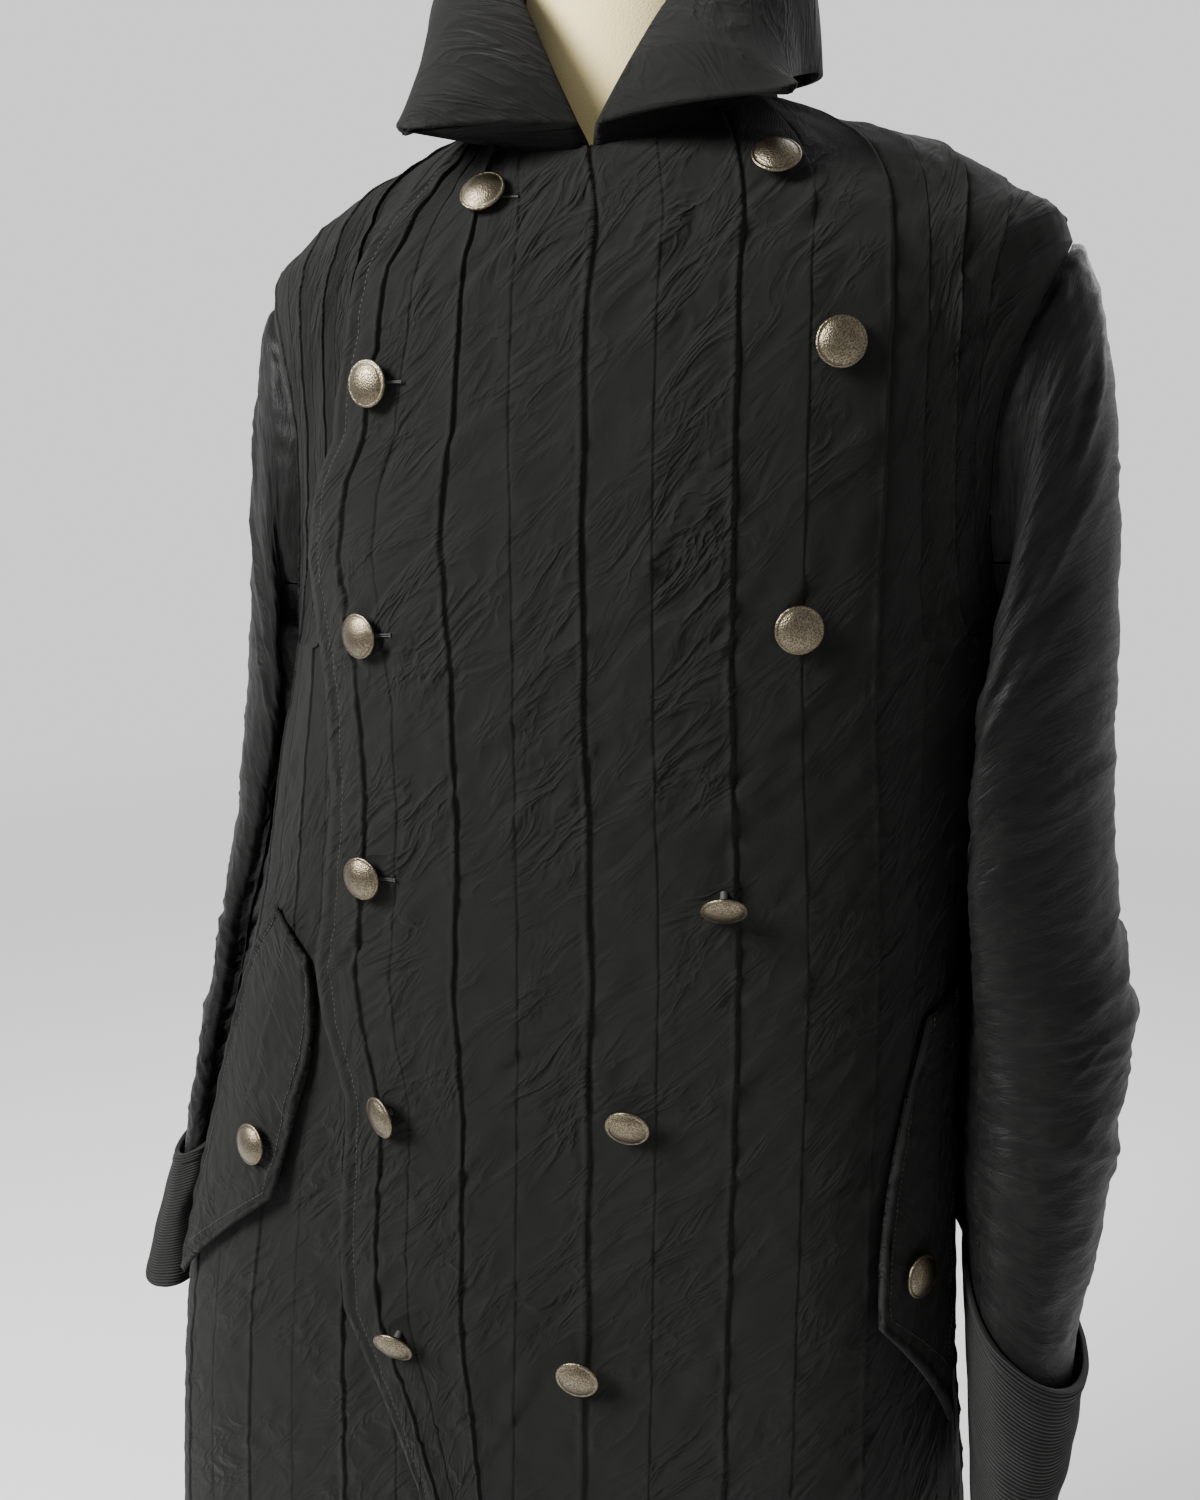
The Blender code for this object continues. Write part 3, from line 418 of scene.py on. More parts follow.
def add_node(tree, kind, inputs=(), **settings):
    """A node with its settings; each input is given as a value or as the output that feeds it."""
    node = tree.nodes.new(kind)
    for word, value in settings.items():
        setattr(node, word, value)
    for socket, value in dict(inputs).items():
        if isinstance(value, bpy.types.NodeSocket):
            tree.links.new(value, node.inputs[socket])
        else:
            node.inputs[socket].default_value = value
    return node


def math_node(tree, operation, *values, clamp=False):
    node = add_node(tree, "ShaderNodeMath", enumerate(values), operation=operation, use_clamp=clamp)
    return node.outputs[0]


def times(tree, first, second, clamp=False):
    return math_node(tree, "MULTIPLY", first, second, clamp=clamp)


def plus(tree, first, second):
    return math_node(tree, "ADD", first, second)


def noise_node(tree, vector, scale, detail=3.0, rough=0.5, distortion=0.0, stretch=(1.0, 1.0, 1.0)):
    mapping = add_node(tree, "ShaderNodeMapping", {"Scale": stretch, "Vector": vector})
    return add_node(tree, "ShaderNodeTexNoise", {
        "Scale": scale, "Detail": detail, "Roughness": rough, "Distortion": distortion,
        "Vector": mapping.outputs[0]}).outputs["Fac"]


def mix_colour(tree, factor, first, second):
    first, second = ((*value, 1.0) if isinstance(value, tuple) else value for value in (first, second))
    return add_node(tree, "ShaderNodeMix", {0: factor, 6: first, 7: second}, data_type="RGBA").outputs[2]


# A twill line and a plain-weave grain, as one height
TWILL, group_in, group_out = node_group(
    "twill_weave",
    (("Cut", "NodeSocketVector", None), ("Pitch", "NodeSocketFloat", 0.0014),
     ("Slant", "NodeSocketFloat", 1.6)),
    (("Height", "NodeSocketFloat"),))
cut = group_in.outputs["Cut"]
parts = add_node(TWILL, "ShaderNodeSeparateXYZ", {0: cut})
wobble = noise_node(TWILL, cut, 240.0, 2.0)
slanted = times(TWILL, parts.outputs[0], group_in.outputs["Slant"])
slanted = math_node(TWILL, "SUBTRACT", slanted, parts.outputs[1])
turns = math_node(TWILL, "DIVIDE", slanted, group_in.outputs["Pitch"])
turns = plus(TWILL, turns, times(TWILL, wobble, 1.4))
line = math_node(TWILL, "SINE", times(TWILL, turns, 2 * math.pi))
grain = noise_node(TWILL, cut, 1900.0, 2.0)
height = plus(TWILL, times(TWILL, line, 0.30), times(TWILL, grain, 0.7))
TWILL.links.new(height, group_out.inputs["Height"])

# Crinkled crepe: short wavering cracks over a fine pebble
CREPE, group_in, group_out = node_group(
    "crepe_crinkle",
    (("Cut", "NodeSocketVector", None), ("Size", "NodeSocketFloat", 1.0)),
    (("Height", "NodeSocketFloat"),))
scaled = add_node(CREPE, "ShaderNodeVectorMath", {
    0: group_in.outputs["Cut"], "Scale": group_in.outputs["Size"]}, operation="SCALE").outputs[0]
cracks = noise_node(CREPE, scaled, 130.0, 4.0, 0.62, 0.9, (1.25, 0.62, 1.0))
cracks = math_node(CREPE, "ABSOLUTE", math_node(CREPE, "SUBTRACT", cracks, 0.5))
cracks = math_node(CREPE, "POWER", times(CREPE, cracks, 3.2, clamp=True), 0.6)
pebble = noise_node(CREPE, scaled, 900.0, 3.0, 0.6)
height = plus(CREPE, times(CREPE, cracks, 0.15), times(CREPE, pebble, 0.55))
CREPE.links.new(height, group_out.inputs["Height"])

# Drag wrinkles of worn cloth: soft ridges that slant across the strips, sharper here and there
PULLS, group_in, group_out = node_group(
    "drag_wrinkles",
    (("Cut", "NodeSocketVector", None), ("Scale", "NodeSocketFloat", 1.0)),
    (("Height", "NodeSocketFloat"),))
cut = group_in.outputs["Cut"]
turned = add_node(PULLS, "ShaderNodeVectorRotate", {"Angle": math.radians(-47.0), "Vector": cut},
                  rotation_type="Z_AXIS")
sized = add_node(PULLS, "ShaderNodeVectorMath", {
    0: turned.outputs[0], "Scale": group_in.outputs["Scale"]}, operation="SCALE").outputs[0]
ridge = noise_node(PULLS, sized, 62.0, 3.0, 0.55, 0.7, (0.34, 1.0, 1.0))
ridge = math_node(PULLS, "ABSOLUTE", math_node(PULLS, "SUBTRACT", ridge, 0.5))
ridge = math_node(PULLS, "SUBTRACT", 1.0, times(PULLS, ridge, 3.4, clamp=True))
ridge = math_node(PULLS, "POWER", ridge, 2.2)
patch = math_node(PULLS, "SUBTRACT", noise_node(PULLS, cut, 11.0, 3.0, 0.6), 0.36)
PULLS.links.new(times(PULLS, ridge, times(PULLS, patch, 3.2, clamp=True)), group_out.inputs["Height"])


def new_material(name, settings):
    material = bpy.data.materials.new(name)
    material.use_nodes = True
    shader = material.node_tree.nodes["Principled BSDF"]
    for word, value in settings.items():
        shader.inputs[word].default_value = value
    return material, material.node_tree, shader


def cut_of(tree):
    """Place on the cloth's flat cut, in metres."""
    return add_node(tree, "ShaderNodeUVMap", uv_map="cut").outputs[0]


def object_place(tree):
    return add_node(tree, "ShaderNodeTexCoord").outputs["Object"]


def place(tree, group, **inputs):
    return add_node(tree, "ShaderNodeGroup", inputs, node_tree=group).outputs[0]


def bump(tree, shader, height, distance, over=None):
    inputs = {"Distance": distance, "Height": height}
    if over is not None:
        inputs["Normal"] = over
    node = add_node(tree, "ShaderNodeBump", inputs)
    tree.links.new(node.outputs[0], shader.inputs["Normal"])
    return node.outputs[0]


def coat_cloth(name, twill_colour, crepe_colour):
    """Twill and crepe strips by turns, with drag wrinkles over both and a painted highlight on the raised
    tops of the weave.
    """
    material, tree, shader = new_material(name, {
        "Sheen Weight": 0.03, "Sheen Roughness": 0.5, "Specular IOR Level": 0.10})
    cut = cut_of(tree)
    parts = add_node(tree, "ShaderNodeSeparateXYZ", {0: cut})
    pair = math_node(tree, "DIVIDE", plus(tree, parts.outputs[0], 10 * PAIR), PAIR)
    is_crepe = math_node(tree, "GREATER_THAN", math_node(tree, "FRACT", pair), TWILL_SHARE)
    twill, crepe = place(tree, TWILL, Cut=cut), place(tree, CREPE, Cut=cut)
    height = add_node(tree, "ShaderNodeMix", {0: is_crepe, 2: twill, 3: crepe}).outputs[0]
    cloth = mix_colour(tree, is_crepe, twill_colour, crepe_colour)
    cloud = times(tree, noise_node(tree, cut, 14.0, 4.0, 0.6), 0.55)
    worn = mix_colour(tree, cloud, cloth, tuple(1.55 * c for c in crepe_colour))
    # Painted highlight: the raised tops of the weave are mixed towards a colour twice as light as the twill
    weave_top_highlight = times(tree, math_node(tree, "POWER", height, 2.0, clamp=True), 0.32)
    final = mix_colour(tree, weave_top_highlight, worn, tuple(2.0 * c for c in twill_colour))
    tree.links.new(final, shader.inputs["Base Color"])
    rough = math_node(tree, "SUBTRACT", 0.93, times(tree, height, 0.14))
    tree.links.new(rough, shader.inputs["Roughness"])
    form = bump(tree, shader, place(tree, PULLS, Cut=cut), 0.0026)
    bump(tree, shader, height, 0.0003, over=form)
    return material


COAT = coat_cloth("coat_cloth_look", (0.0078, 0.0078, 0.0074), (0.0060, 0.0060, 0.0056))


def make_panel(name, low, high, left, right, lift, from_back, seed, stitch_at=None):
    """Grid of a panel between its edges, with tucks, drag creases and finer unevenness."""
    folds, joins = strip_lines(low, high)
    if name == "front_left_cloth":
        folds[0] = FREE_FOLD
    columns = strip_columns(low, high, folds, joins)
    if stitch_at is not None:
        columns = np.array(sorted(list(columns) + [stitch_at]))
    v, u = panel_grid(columns, left, right, from_back)
    theta = angle_at(v, u, from_back)
    base, normal = body_point(v, theta), body_normal(v, theta)
    s, z = np.broadcast_to(columns, u.shape), base[..., 2]
    creases = drag_creases(seed, low, high, 0.37, 1.44, int(520 * (high - low) / 0.4))
    relief = tuck_relief(s, z, folds, joins) + crease_all(u, z, creases)
    relief = relief + 0.0016 * waves(u, z, seed + 1, 0.16, 9, (0.8, 2.4))
    relief = relief + 0.00050 * waves(u, z, seed + 2, 0.021, 14, (1.0, 1.3))
    relief = relief + 0.00022 * waves(u, z, seed + 4, 0.009, 14, (1.0, 1.2))
    if name == "front_right_cloth":
        relief = relief * (1 - 0.45 * smooth((-0.150 - s) / 0.030))
    calm = smooth((s - columns[0]) / 0.006) * smooth((columns[-1] - s) / 0.006)
    if from_back or left[2] == TIP or right[2] == TIP:
        relief = relief * (0.35 + 0.65 * calm)
    if stitch_at is not None:
        d = s - stitch_at
        pucker = 0.0005 * waves(z, s, seed + 3, 0.012, 6) * fading(d, 0.006)
        relief = relief - 0.0006 * bell(d, 0.0016) + pucker + 0.0006 * smooth((stitch_at - s) / 0.002)
    lifted = lift(v, u) if lift else 0.0
    points = base + normal * (lifted + BODY_WALL + relief)[..., None]
    return [points, normal, np.stack([s, z], -1)], columns


def hem_half(side, from_back=False):
    """Half width of a panel at the hem, taken back to unscaled strips."""
    return float(side_arc(0.0, side, from_back)[0] / SECTIONS[0][8])


upper, upper_columns = make_panel(
    "front_left_cloth", FREE_EDGE_WIDEST, hem_half(1), (-0.045, free_edge, 11.7),
    (0.150, armhole_edge(1, False), TIP), upper_lift, False, 11, FREE_STITCH)
under, _ = make_panel(
    "front_right_cloth", -hem_half(-1), HIDDEN_EDGE, (-0.130, armhole_edge(-1, False), TIP),
    (0.060, hidden_edge, NECK), None, False, 23)
rear, _ = make_panel(
    "back_cloth", -hem_half(-1, True), hem_half(1, True), (-0.160, armhole_edge(-1, True), TIP),
    (0.160, armhole_edge(1, True), TIP), None, True, 37)

for sheet, node, flat, area in (
        (turned_under(upper, "free edge", EDGE_ROWS, BODY_WALL), "front_left", (0.48, 1.15), 0.45),
        (under, "front_right", (0.50, 1.15), 0.47),
        (with_allowances(rear), "back", (0.72, 1.18), 0.70)):
    piece = sheet_mesh(node + "_cloth", *turned_under(sheet, "bottom", HEM_ROWS, BODY_WALL), COAT)
    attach(piece, "root")
    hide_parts(node)


# SLEEVES
# Two-piece set-in sleeves of a thinner, washed satin cloth with a soft lustre. The cloth is crushed into
# many small cross folds, deepest round the elbow and on the under sleeve behind the back seam.
SLEEVE_WALL = 0.0013
SLEEVE_STEP, SLEEVE_ROWS, SLEEVE_FOLDS = 0.0205, 190, 230
SLEEVES = {
    # outer x, outer z, inner x, inner z, front y, back y, share, tilt, bend
    1: (
        (0.243, 1.398, 0.2215, 1.226, -0.078, 0.058, 0.35, 0.00, 0.010),
        (0.253, 1.352, 0.2190, 1.205, -0.086, 0.065, 0.65, 0.00, 0.024),
        (0.256, 1.300, 0.2165, 1.185, -0.092, 0.078, 0.88, 0.00, 0.036),
        (0.258, 1.240, 0.2110, 1.162, -0.095, 0.082, 1.00, 0.00, 0.042),
        (0.260, 1.180, 0.2075, 1.128, -0.096, 0.083, 1.00, 0.00, 0.042),
        (0.263, 1.120, 0.2030, 1.085, -0.094, 0.082, 1.00, 0.00, 0.038),
        (0.269, 1.060, 0.1980, 1.040, -0.091, 0.078, 1.00, 0.00, 0.030),
        (0.279, 1.012, 0.1950, 1.000, -0.090, 0.072, 1.00, 0.05, 0.022),
        (0.280, 0.975, 0.1935, 0.970, -0.091, 0.064, 1.00, 0.08, 0.016),
        (0.275, 0.930, 0.1935, 0.930, -0.096, 0.052, 1.00, 0.10, 0.012),
        (0.269, 0.876, 0.1955, 0.896, -0.100, 0.044, 1.00, 0.10, 0.010),
        (0.261, 0.826, 0.1985, 0.866, -0.104, 0.037, 1.00, 0.08, 0.008),
        (0.258, 0.790, 0.2015, 0.838, -0.106, 0.034, 1.00, 0.07, 0.008),
    ),
    -1: (
        (-0.238, 1.374, -0.2340, 1.204, -0.070, 0.062, 0.35, 0.00, 0.008),
        (-0.244, 1.330, -0.2330, 1.183, -0.068, 0.072, 0.65, 0.00, 0.018),
        (-0.250, 1.284, -0.2330, 1.163, -0.063, 0.084, 0.88, 0.00, 0.024),
        (-0.258, 1.230, -0.2370, 1.138, -0.056, 0.096, 1.00, 0.00, 0.028),
        (-0.268, 1.172, -0.2440, 1.106, -0.046, 0.108, 1.00, 0.00, 0.025),
        (-0.279, 1.115, -0.2530, 1.071, -0.034, 0.116, 1.00, 0.00, 0.020),
        (-0.290, 1.058, -0.2630, 1.034, -0.024, 0.120, 1.00, 0.00, 0.014),
        (-0.301, 1.006, -0.2740, 0.996, -0.018, 0.120, 1.00, 0.00, 0.010),
        (-0.311, 0.962, -0.2830, 0.958, -0.015, 0.120, 1.00, 0.00, 0.008),
        (-0.322, 0.915, -0.2920, 0.918, -0.013, 0.120, 1.00, 0.00, 0.006),
        (-0.333, 0.868, -0.3010, 0.884, -0.011, 0.118, 1.00, 0.00, 0.006),
        (-0.342, 0.828, -0.3090, 0.852, -0.008, 0.114, 1.00, 0.00, 0.006),
        (-0.346, 0.804, -0.3130, 0.826, -0.007, 0.112, 1.00, 0.00, 0.006),
    ),
}
BACK_SEAM, FRONT_SEAM, SEAM_TURN = math.radians(-38.0), math.radians(132.0), math.radians(0.35)
ARM_GIRTH = 0.060
SAG_AT, SAG_WIDTH = math.radians(208.0), math.radians(27.0)


def armhole_path(side):
    """Armhole from the tip down the front to the underarm and up the back."""
    v = UNDERARM + (TIP - UNDERARM) * HIGH_T
    front_u = side * (side_arc(v, side) - arm_cut(v, ARM_CUT_FRONT[side]))
    back_u = side * (side_arc(v, side, True) - arm_cut(v, ARM_CUT_BACK))
    path_v = np.concatenate([v[::-1], v[1:]])
    path_t = np.concatenate([angle_at(v, front_u)[::-1], angle_at(v, back_u, True)[1:]])
    base, normal = body_point(path_v, path_t), body_normal(path_v, path_t)
    away = np.cross(normal, np.gradient(base, axis=0)) * side
    away[0] = away[-1] = away[0] + away[-1]
    normal[0] = normal[-1] = normal[0] + normal[-1]
    low = len(v) - 1
    arc = run_lengths(np.linalg.norm(np.diff(base, axis=0), axis=1))
    turn = np.where(np.arange(len(arc)) <= low, math.pi * arc / arc[low],
                    math.pi * (1 + (arc - arc[low]) / (arc[-1] - arc[low])))
    return base + unit(normal) * SLEEVE_WALL + unit(away) * 0.0012, turn


def tube_section(row, angles, power=2.3):
    outer_x, outer_z, inner_x, inner_z, front_y, back_y, _, tilt, bend = row
    middle = np.array([(outer_x + inner_x) / 2, (front_y + back_y) / 2, (outer_z + inner_z) / 2])
    across = np.array([(outer_x - inner_x) / 2, 0.0, (outer_z - inner_z) / 2])
    c, s = np.cos(angles), np.sin(angles)
    c = np.sign(c) * np.abs(c) ** (2 / power)
    s = np.sign(s) * np.abs(s) ** (2 / power)
    points = middle + c[:, None] * across + s[:, None] * np.array([0.0, (front_y - back_y) / 2, 0.0])
    points[:, 0] -= math.copysign(bend, outer_x) * s * s
    points[:, 2] -= tilt * (points[:, 1] - middle[1])
    return points


def tube(table, angles, side, count, with_head):
    """Rings of a sleeve or cuff, eased from one table row to the next, with their outward normals."""
    rings = []
    if with_head:
        path, turn = armhole_path(side)
        loop = np.stack([np.interp(np.mod(angles, 2 * math.pi), turn, path[:, k]) for k in range(3)], -1)
        rings.append(loop)
    for row in table:
        ring = tube_section(row, angles)
        rings.append(row[6] * ring + (1 - row[6]) * loop if with_head else ring)
    r = np.linspace(0.0, len(rings) - 1.0, count)
    middle = spline(np.array(rings), r)
    normal = unit(np.cross(np.gradient(middle, axis=1), np.gradient(middle, axis=0)) * side, 1e-12)
    down = run_lengths(np.linalg.norm(np.diff(middle.mean(axis=1), axis=0), axis=1))
    return middle, normal, down


def satin_cloth(name, colour, painted_ridge_highlight):
    """Washed satin, crushed across the arm, with painted sheen making it lighter on its ridges."""
    material, tree, shader = new_material(name, {
        "Sheen Weight": 0.01, "Sheen Roughness": 0.35, "Specular IOR Level": 0.10})
    cut = cut_of(tree)
    crush = noise_node(tree, cut, 70.0, 5.0, 0.62, 1.4, (0.42, 1.5, 1.0))
    fine = noise_node(tree, cut, 300.0, 3.0, 0.6, 0.8, (0.5, 1.6, 1.0))
    thread = noise_node(tree, cut, 2200.0, 1.0, 0.5, 0.0, (1.0, 0.25, 1.0))
    height = plus(tree, times(tree, crush, 0.75), times(tree, fine, 0.22))
    height = plus(tree, height, times(tree, thread, 0.06))
    # Painted sheen: the crush ridges are mixed towards the lighter second colour
    ridge_sheen_mask = math_node(tree, "POWER", times(tree, height, 1.35, clamp=True), 3.0)
    tree.links.new(mix_colour(tree, ridge_sheen_mask, colour, painted_ridge_highlight), shader.inputs["Base Color"])
    tree.links.new(plus(tree, 0.36, times(tree, fine, 0.26)), shader.inputs["Roughness"])
    bump(tree, shader, height, 0.0016)
    return material


def sleeve_creases(seed, start, end, length, count):
    """Cross folds of a sleeve: short and dense, with deeper ones at the elbow."""
    random = np.random.default_rng(seed)
    rows = []
    for _ in range(count):
        along = random.uniform(0.01, length)
        elbow = math.exp(-((along - 0.66 * length) / 0.09) ** 2)
        strong = random.uniform(0.2, 1.0) ** 1.5 * (0.75 + 0.9 * elbow)
        rows.append((random.uniform(start, end) * ARM_GIRTH, along, math.radians(random.normal(4.0, 15.0)),
                     random.uniform(0.012, 0.034), random.uniform(0.0013, 0.0030), 0.0009 * strong,
                     random.uniform(-5.0, 5.0)))
    return rows


# The second colour of each satin is its painted sheen on the crush ridges
SATIN = satin_cloth("sleeve_cloth_look", (0.0038, 0.0038, 0.0038), (0.0118, 0.0118, 0.0112))
# Painted shade: the under sleeve gets a darker copy of the same satin for the side that faces the body, away
# from the light
SATIN_SHADED = satin_cloth("under_sleeve_painted_shade_look", (0.0024, 0.0024, 0.0025), (0.0085, 0.0085, 0.0083))
ELBOW_FOLDS = (
    # place round the arm in radians, way down the sleeve, slope, half length, half width, depth, bow
    (-0.50, 0.330, 0.25, 0.040, 0.0052, 0.0034, 3.0),
    (-0.20, 0.372, 0.10, 0.046, 0.0056, 0.0040, -2.0),
    (-0.62, 0.408, -0.18, 0.036, 0.0050, 0.0036, 2.0),
    (0.35, 0.442, -0.30, 0.044, 0.0058, 0.0030, 1.0),
    (-0.35, 0.452, 0.22, 0.038, 0.0050, 0.0036, -3.0),
    (0.95, 0.118, 0.75, 0.034, 0.0060, 0.0024, 0.0),
    (1.35, 0.172, 0.65, 0.030, 0.0052, 0.0022, 0.0),
    (0.60, 0.065, 1.05, 0.026, 0.0054, 0.0020, 0.0),
    (4.40, 0.360, 0.20, 0.046, 0.0060, 0.0038, 0.0),
    (4.75, 0.405, -0.15, 0.040, 0.0060, 0.0036, 0.0),
    (4.10, 0.445, 0.12, 0.036, 0.0054, 0.0030, 0.0),
    (3.30, 0.380, -0.10, 0.040, 0.0056, 0.0024, 0.0),
)


def sag(angles, down, length):
    """The under sleeve hangs full between elbow and wrist, towards the body."""
    inner = bell(angles - SAG_AT, SAG_WIDTH)
    inner += bell(angles + 2 * math.pi - SAG_AT, SAG_WIDTH)
    return inner[None, :] * (smooth((down - 0.34 * length) / 0.10) * smooth((length - down) / 0.025))[:, None]


def make_sleeve(name, side, start, end, seed, node):
    angles = np.linspace(start + SEAM_TURN, end - SEAM_TURN, int((end - start) / SLEEVE_STEP))
    middle, normal, down = tube(SLEEVES[side], angles, side, SLEEVE_ROWS, True)
    x, y = np.broadcast_arrays(angles[None, :] * ARM_GIRTH, down[:, None])
    relief = crease_all(x, y, sleeve_creases(seed, start, end, down[-1], SLEEVE_FOLDS))
    folds = [(row[0] * ARM_GIRTH,) + row[1:] for row in ELBOW_FOLDS]
    relief += crease_all(x, y, folds)
    relief += 0.0008 * waves(x, y, seed + 1, 0.055, 9, (1.5, 0.7))
    relief += 0.00042 * waves(x, y, seed + 2, 0.014, 12, (1.9, 0.6))
    edge = np.minimum(x - x[:, :1], x[:, -1:] - x)
    head = smooth(y / 0.010)
    relief = relief * (0.2 + 0.8 * smooth(edge / 0.005)) * (0.15 + 0.85 * head)
    relief += 0.0010 * bell(y - 0.006, 0.004) + 0.0004 * waves(x, y, seed + 3, 0.011, 6) * np.exp(-y / 0.02)
    relief -= 0.0011 * bell(edge, 0.0018) * smooth(y / 0.02)
    cuff_end = smooth((down[-1] - y) / 0.03)
    points = middle + normal * (SLEEVE_WALL / 2 + relief * (0.3 + 0.7 * cuff_end))[..., None]
    if side > 0:
        points = points + np.array([-0.0130, 0.0030, 0.0]) * sag(angles, down, down[-1])[..., None]
    # The under sleeve pieces take the darker satin, which is painted shade
    piece = sheet_mesh(name, points, normal, np.stack([x, y], -1), SATIN_SHADED if "under" in name else SATIN)
    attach(piece, "root")
    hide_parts(node)


for side, word in SIDES:
    make_sleeve("sleeve_%s_top_cloth" % word, side, BACK_SEAM, FRONT_SEAM, 210 + side,
                "sleeve_%s_top" % word)
    make_sleeve("sleeve_%s_under_cloth" % word, side, FRONT_SEAM, BACK_SEAM + 2 * math.pi, 310 + side,
                "sleeve_%s_under" % word)


# CUFFS
# Deep gauntlet cuffs of cross-ribbed cloth, sewn over the sleeve end with a slanting top edge.
# The ribs run round the wrist, about 2.3 mm apart, and a second edge line is stitched near the top.
CUFF_WALL = 0.0020
RIB_PITCH, RIB_DEPTH = 0.0023, 0.00034
CUFF_COLUMNS, CUFF_ROWS, TOP_ROWS, END_ROWS = 104, 280, 14, 26
CUFFS = {
    1: (
        (0.266, 0.798, 0.1965, 0.852, -0.110, 0.042, 1.00, 0.07, 0.008),
        (0.262, 0.764, 0.2000, 0.802, -0.112, 0.038, 1.00, 0.05, 0.006),
        (0.256, 0.728, 0.2040, 0.750, -0.113, 0.034, 1.00, 0.03, 0.005),
        (0.249, 0.692, 0.2080, 0.702, -0.114, 0.030, 1.00, 0.02, 0.004),
    ),
    -1: (
        (-0.351, 0.812, -0.3060, 0.836, -0.011, 0.117, 1.00, 0.00, 0.006),
        (-0.362, 0.778, -0.3160, 0.796, -0.012, 0.116, 1.00, 0.00, 0.005),
        (-0.372, 0.744, -0.3230, 0.756, -0.013, 0.115, 1.00, 0.00, 0.004),
        (-0.380, 0.714, -0.3300, 0.720, -0.013, 0.114, 1.00, 0.00, 0.004),
    ),
}


def cuff_cloth(name):
    """Cross-ribbed cloth, with a painted highlight along the tops of its ribs."""
    material, tree, shader = new_material(name, {
        "Roughness": 0.70, "Sheen Weight": 0.04, "Sheen Roughness": 0.4, "Specular IOR Level": 0.15})
    cut = cut_of(tree)
    parts = add_node(tree, "ShaderNodeSeparateXYZ", {0: cut})
    rib = math_node(tree, "SINE", times(tree, parts.outputs[1], 2 * math.pi / RIB_PITCH))
    shown = times(tree, plus(tree, rib, 1.0), 0.5)
    grain = noise_node(tree, cut, 900.0, 3.0, 0.6)
    # Painted highlight: the rib tops are mixed towards a lighter colour
    painted_ridge_highlight = times(tree, math_node(tree, "POWER", shown, 2.0), grain)
    colour = mix_colour(tree, painted_ridge_highlight, (0.0048, 0.0048, 0.0048), (0.040, 0.039, 0.037))
    tree.links.new(colour, shader.inputs["Base Color"])
    bump(tree, shader, plus(tree, times(tree, shown, 0.7), times(tree, grain, 0.3)), 0.0004)
    return material


RIBBED = cuff_cloth("cuff_cloth_look")


def end_tree(tree, geometry, material, group_out):
    real = add_node(tree, "GeometryNodeRealizeInstances", {0: geometry})
    painted = add_node(tree, "GeometryNodeSetMaterial", {"Geometry": real.outputs[0], "Material": material})
    tree.links.new(painted.outputs[0], group_out.inputs[0])


# Raises round ribs on a cloth grid, along its "down" attribute
rib_tree, group_in, group_out = node_group(
    "raise_ribs",
    (("Geometry", "NodeSocketGeometry", None), ("Pitch", "NodeSocketFloat", None),
     ("Depth", "NodeSocketFloat", None), ("Cloth", "NodeSocketMaterial", None)),
    (("Geometry", "NodeSocketGeometry"),), "GeometryNodeTree")
down_cut = add_node(rib_tree, "GeometryNodeInputNamedAttribute", {"Name": "down"}, data_type="FLOAT")
phase = math_node(rib_tree, "DIVIDE", down_cut.outputs["Attribute"], group_in.outputs["Pitch"])
wave = math_node(rib_tree, "SINE", times(rib_tree, phase, 2 * math.pi))
size = times(rib_tree, wave, group_in.outputs["Depth"])
facing = add_node(rib_tree, "GeometryNodeInputNormal")
push = add_node(rib_tree, "ShaderNodeVectorMath", {0: facing.outputs[0], "Scale": size}, operation="SCALE")
moved = add_node(rib_tree, "GeometryNodeSetPosition", {
    "Geometry": group_in.outputs["Geometry"], "Offset": push.outputs[0]})
end_tree(rib_tree, moved.outputs[0], group_in.outputs["Cloth"], group_out)


def made_by(tree, base, name, **values):
    """Runs a geometry tree on a base object and keeps the result as a plain mesh object."""
    modifier = base.modifiers.new("make", "NODES")
    modifier.node_group = tree
    for item in tree.interface.items_tree:
        if item.in_out == "INPUT" and item.name in values:
            modifier[item.identifier] = values[item.name]
    bpy.context.view_layer.update()
    shaped = base.evaluated_get(bpy.context.evaluated_depsgraph_get())
    mesh = bpy.data.meshes.new_from_object(shaped)
    bpy.data.objects.remove(base, do_unlink=True)
    mesh.name = name
    return add_object(name, mesh)


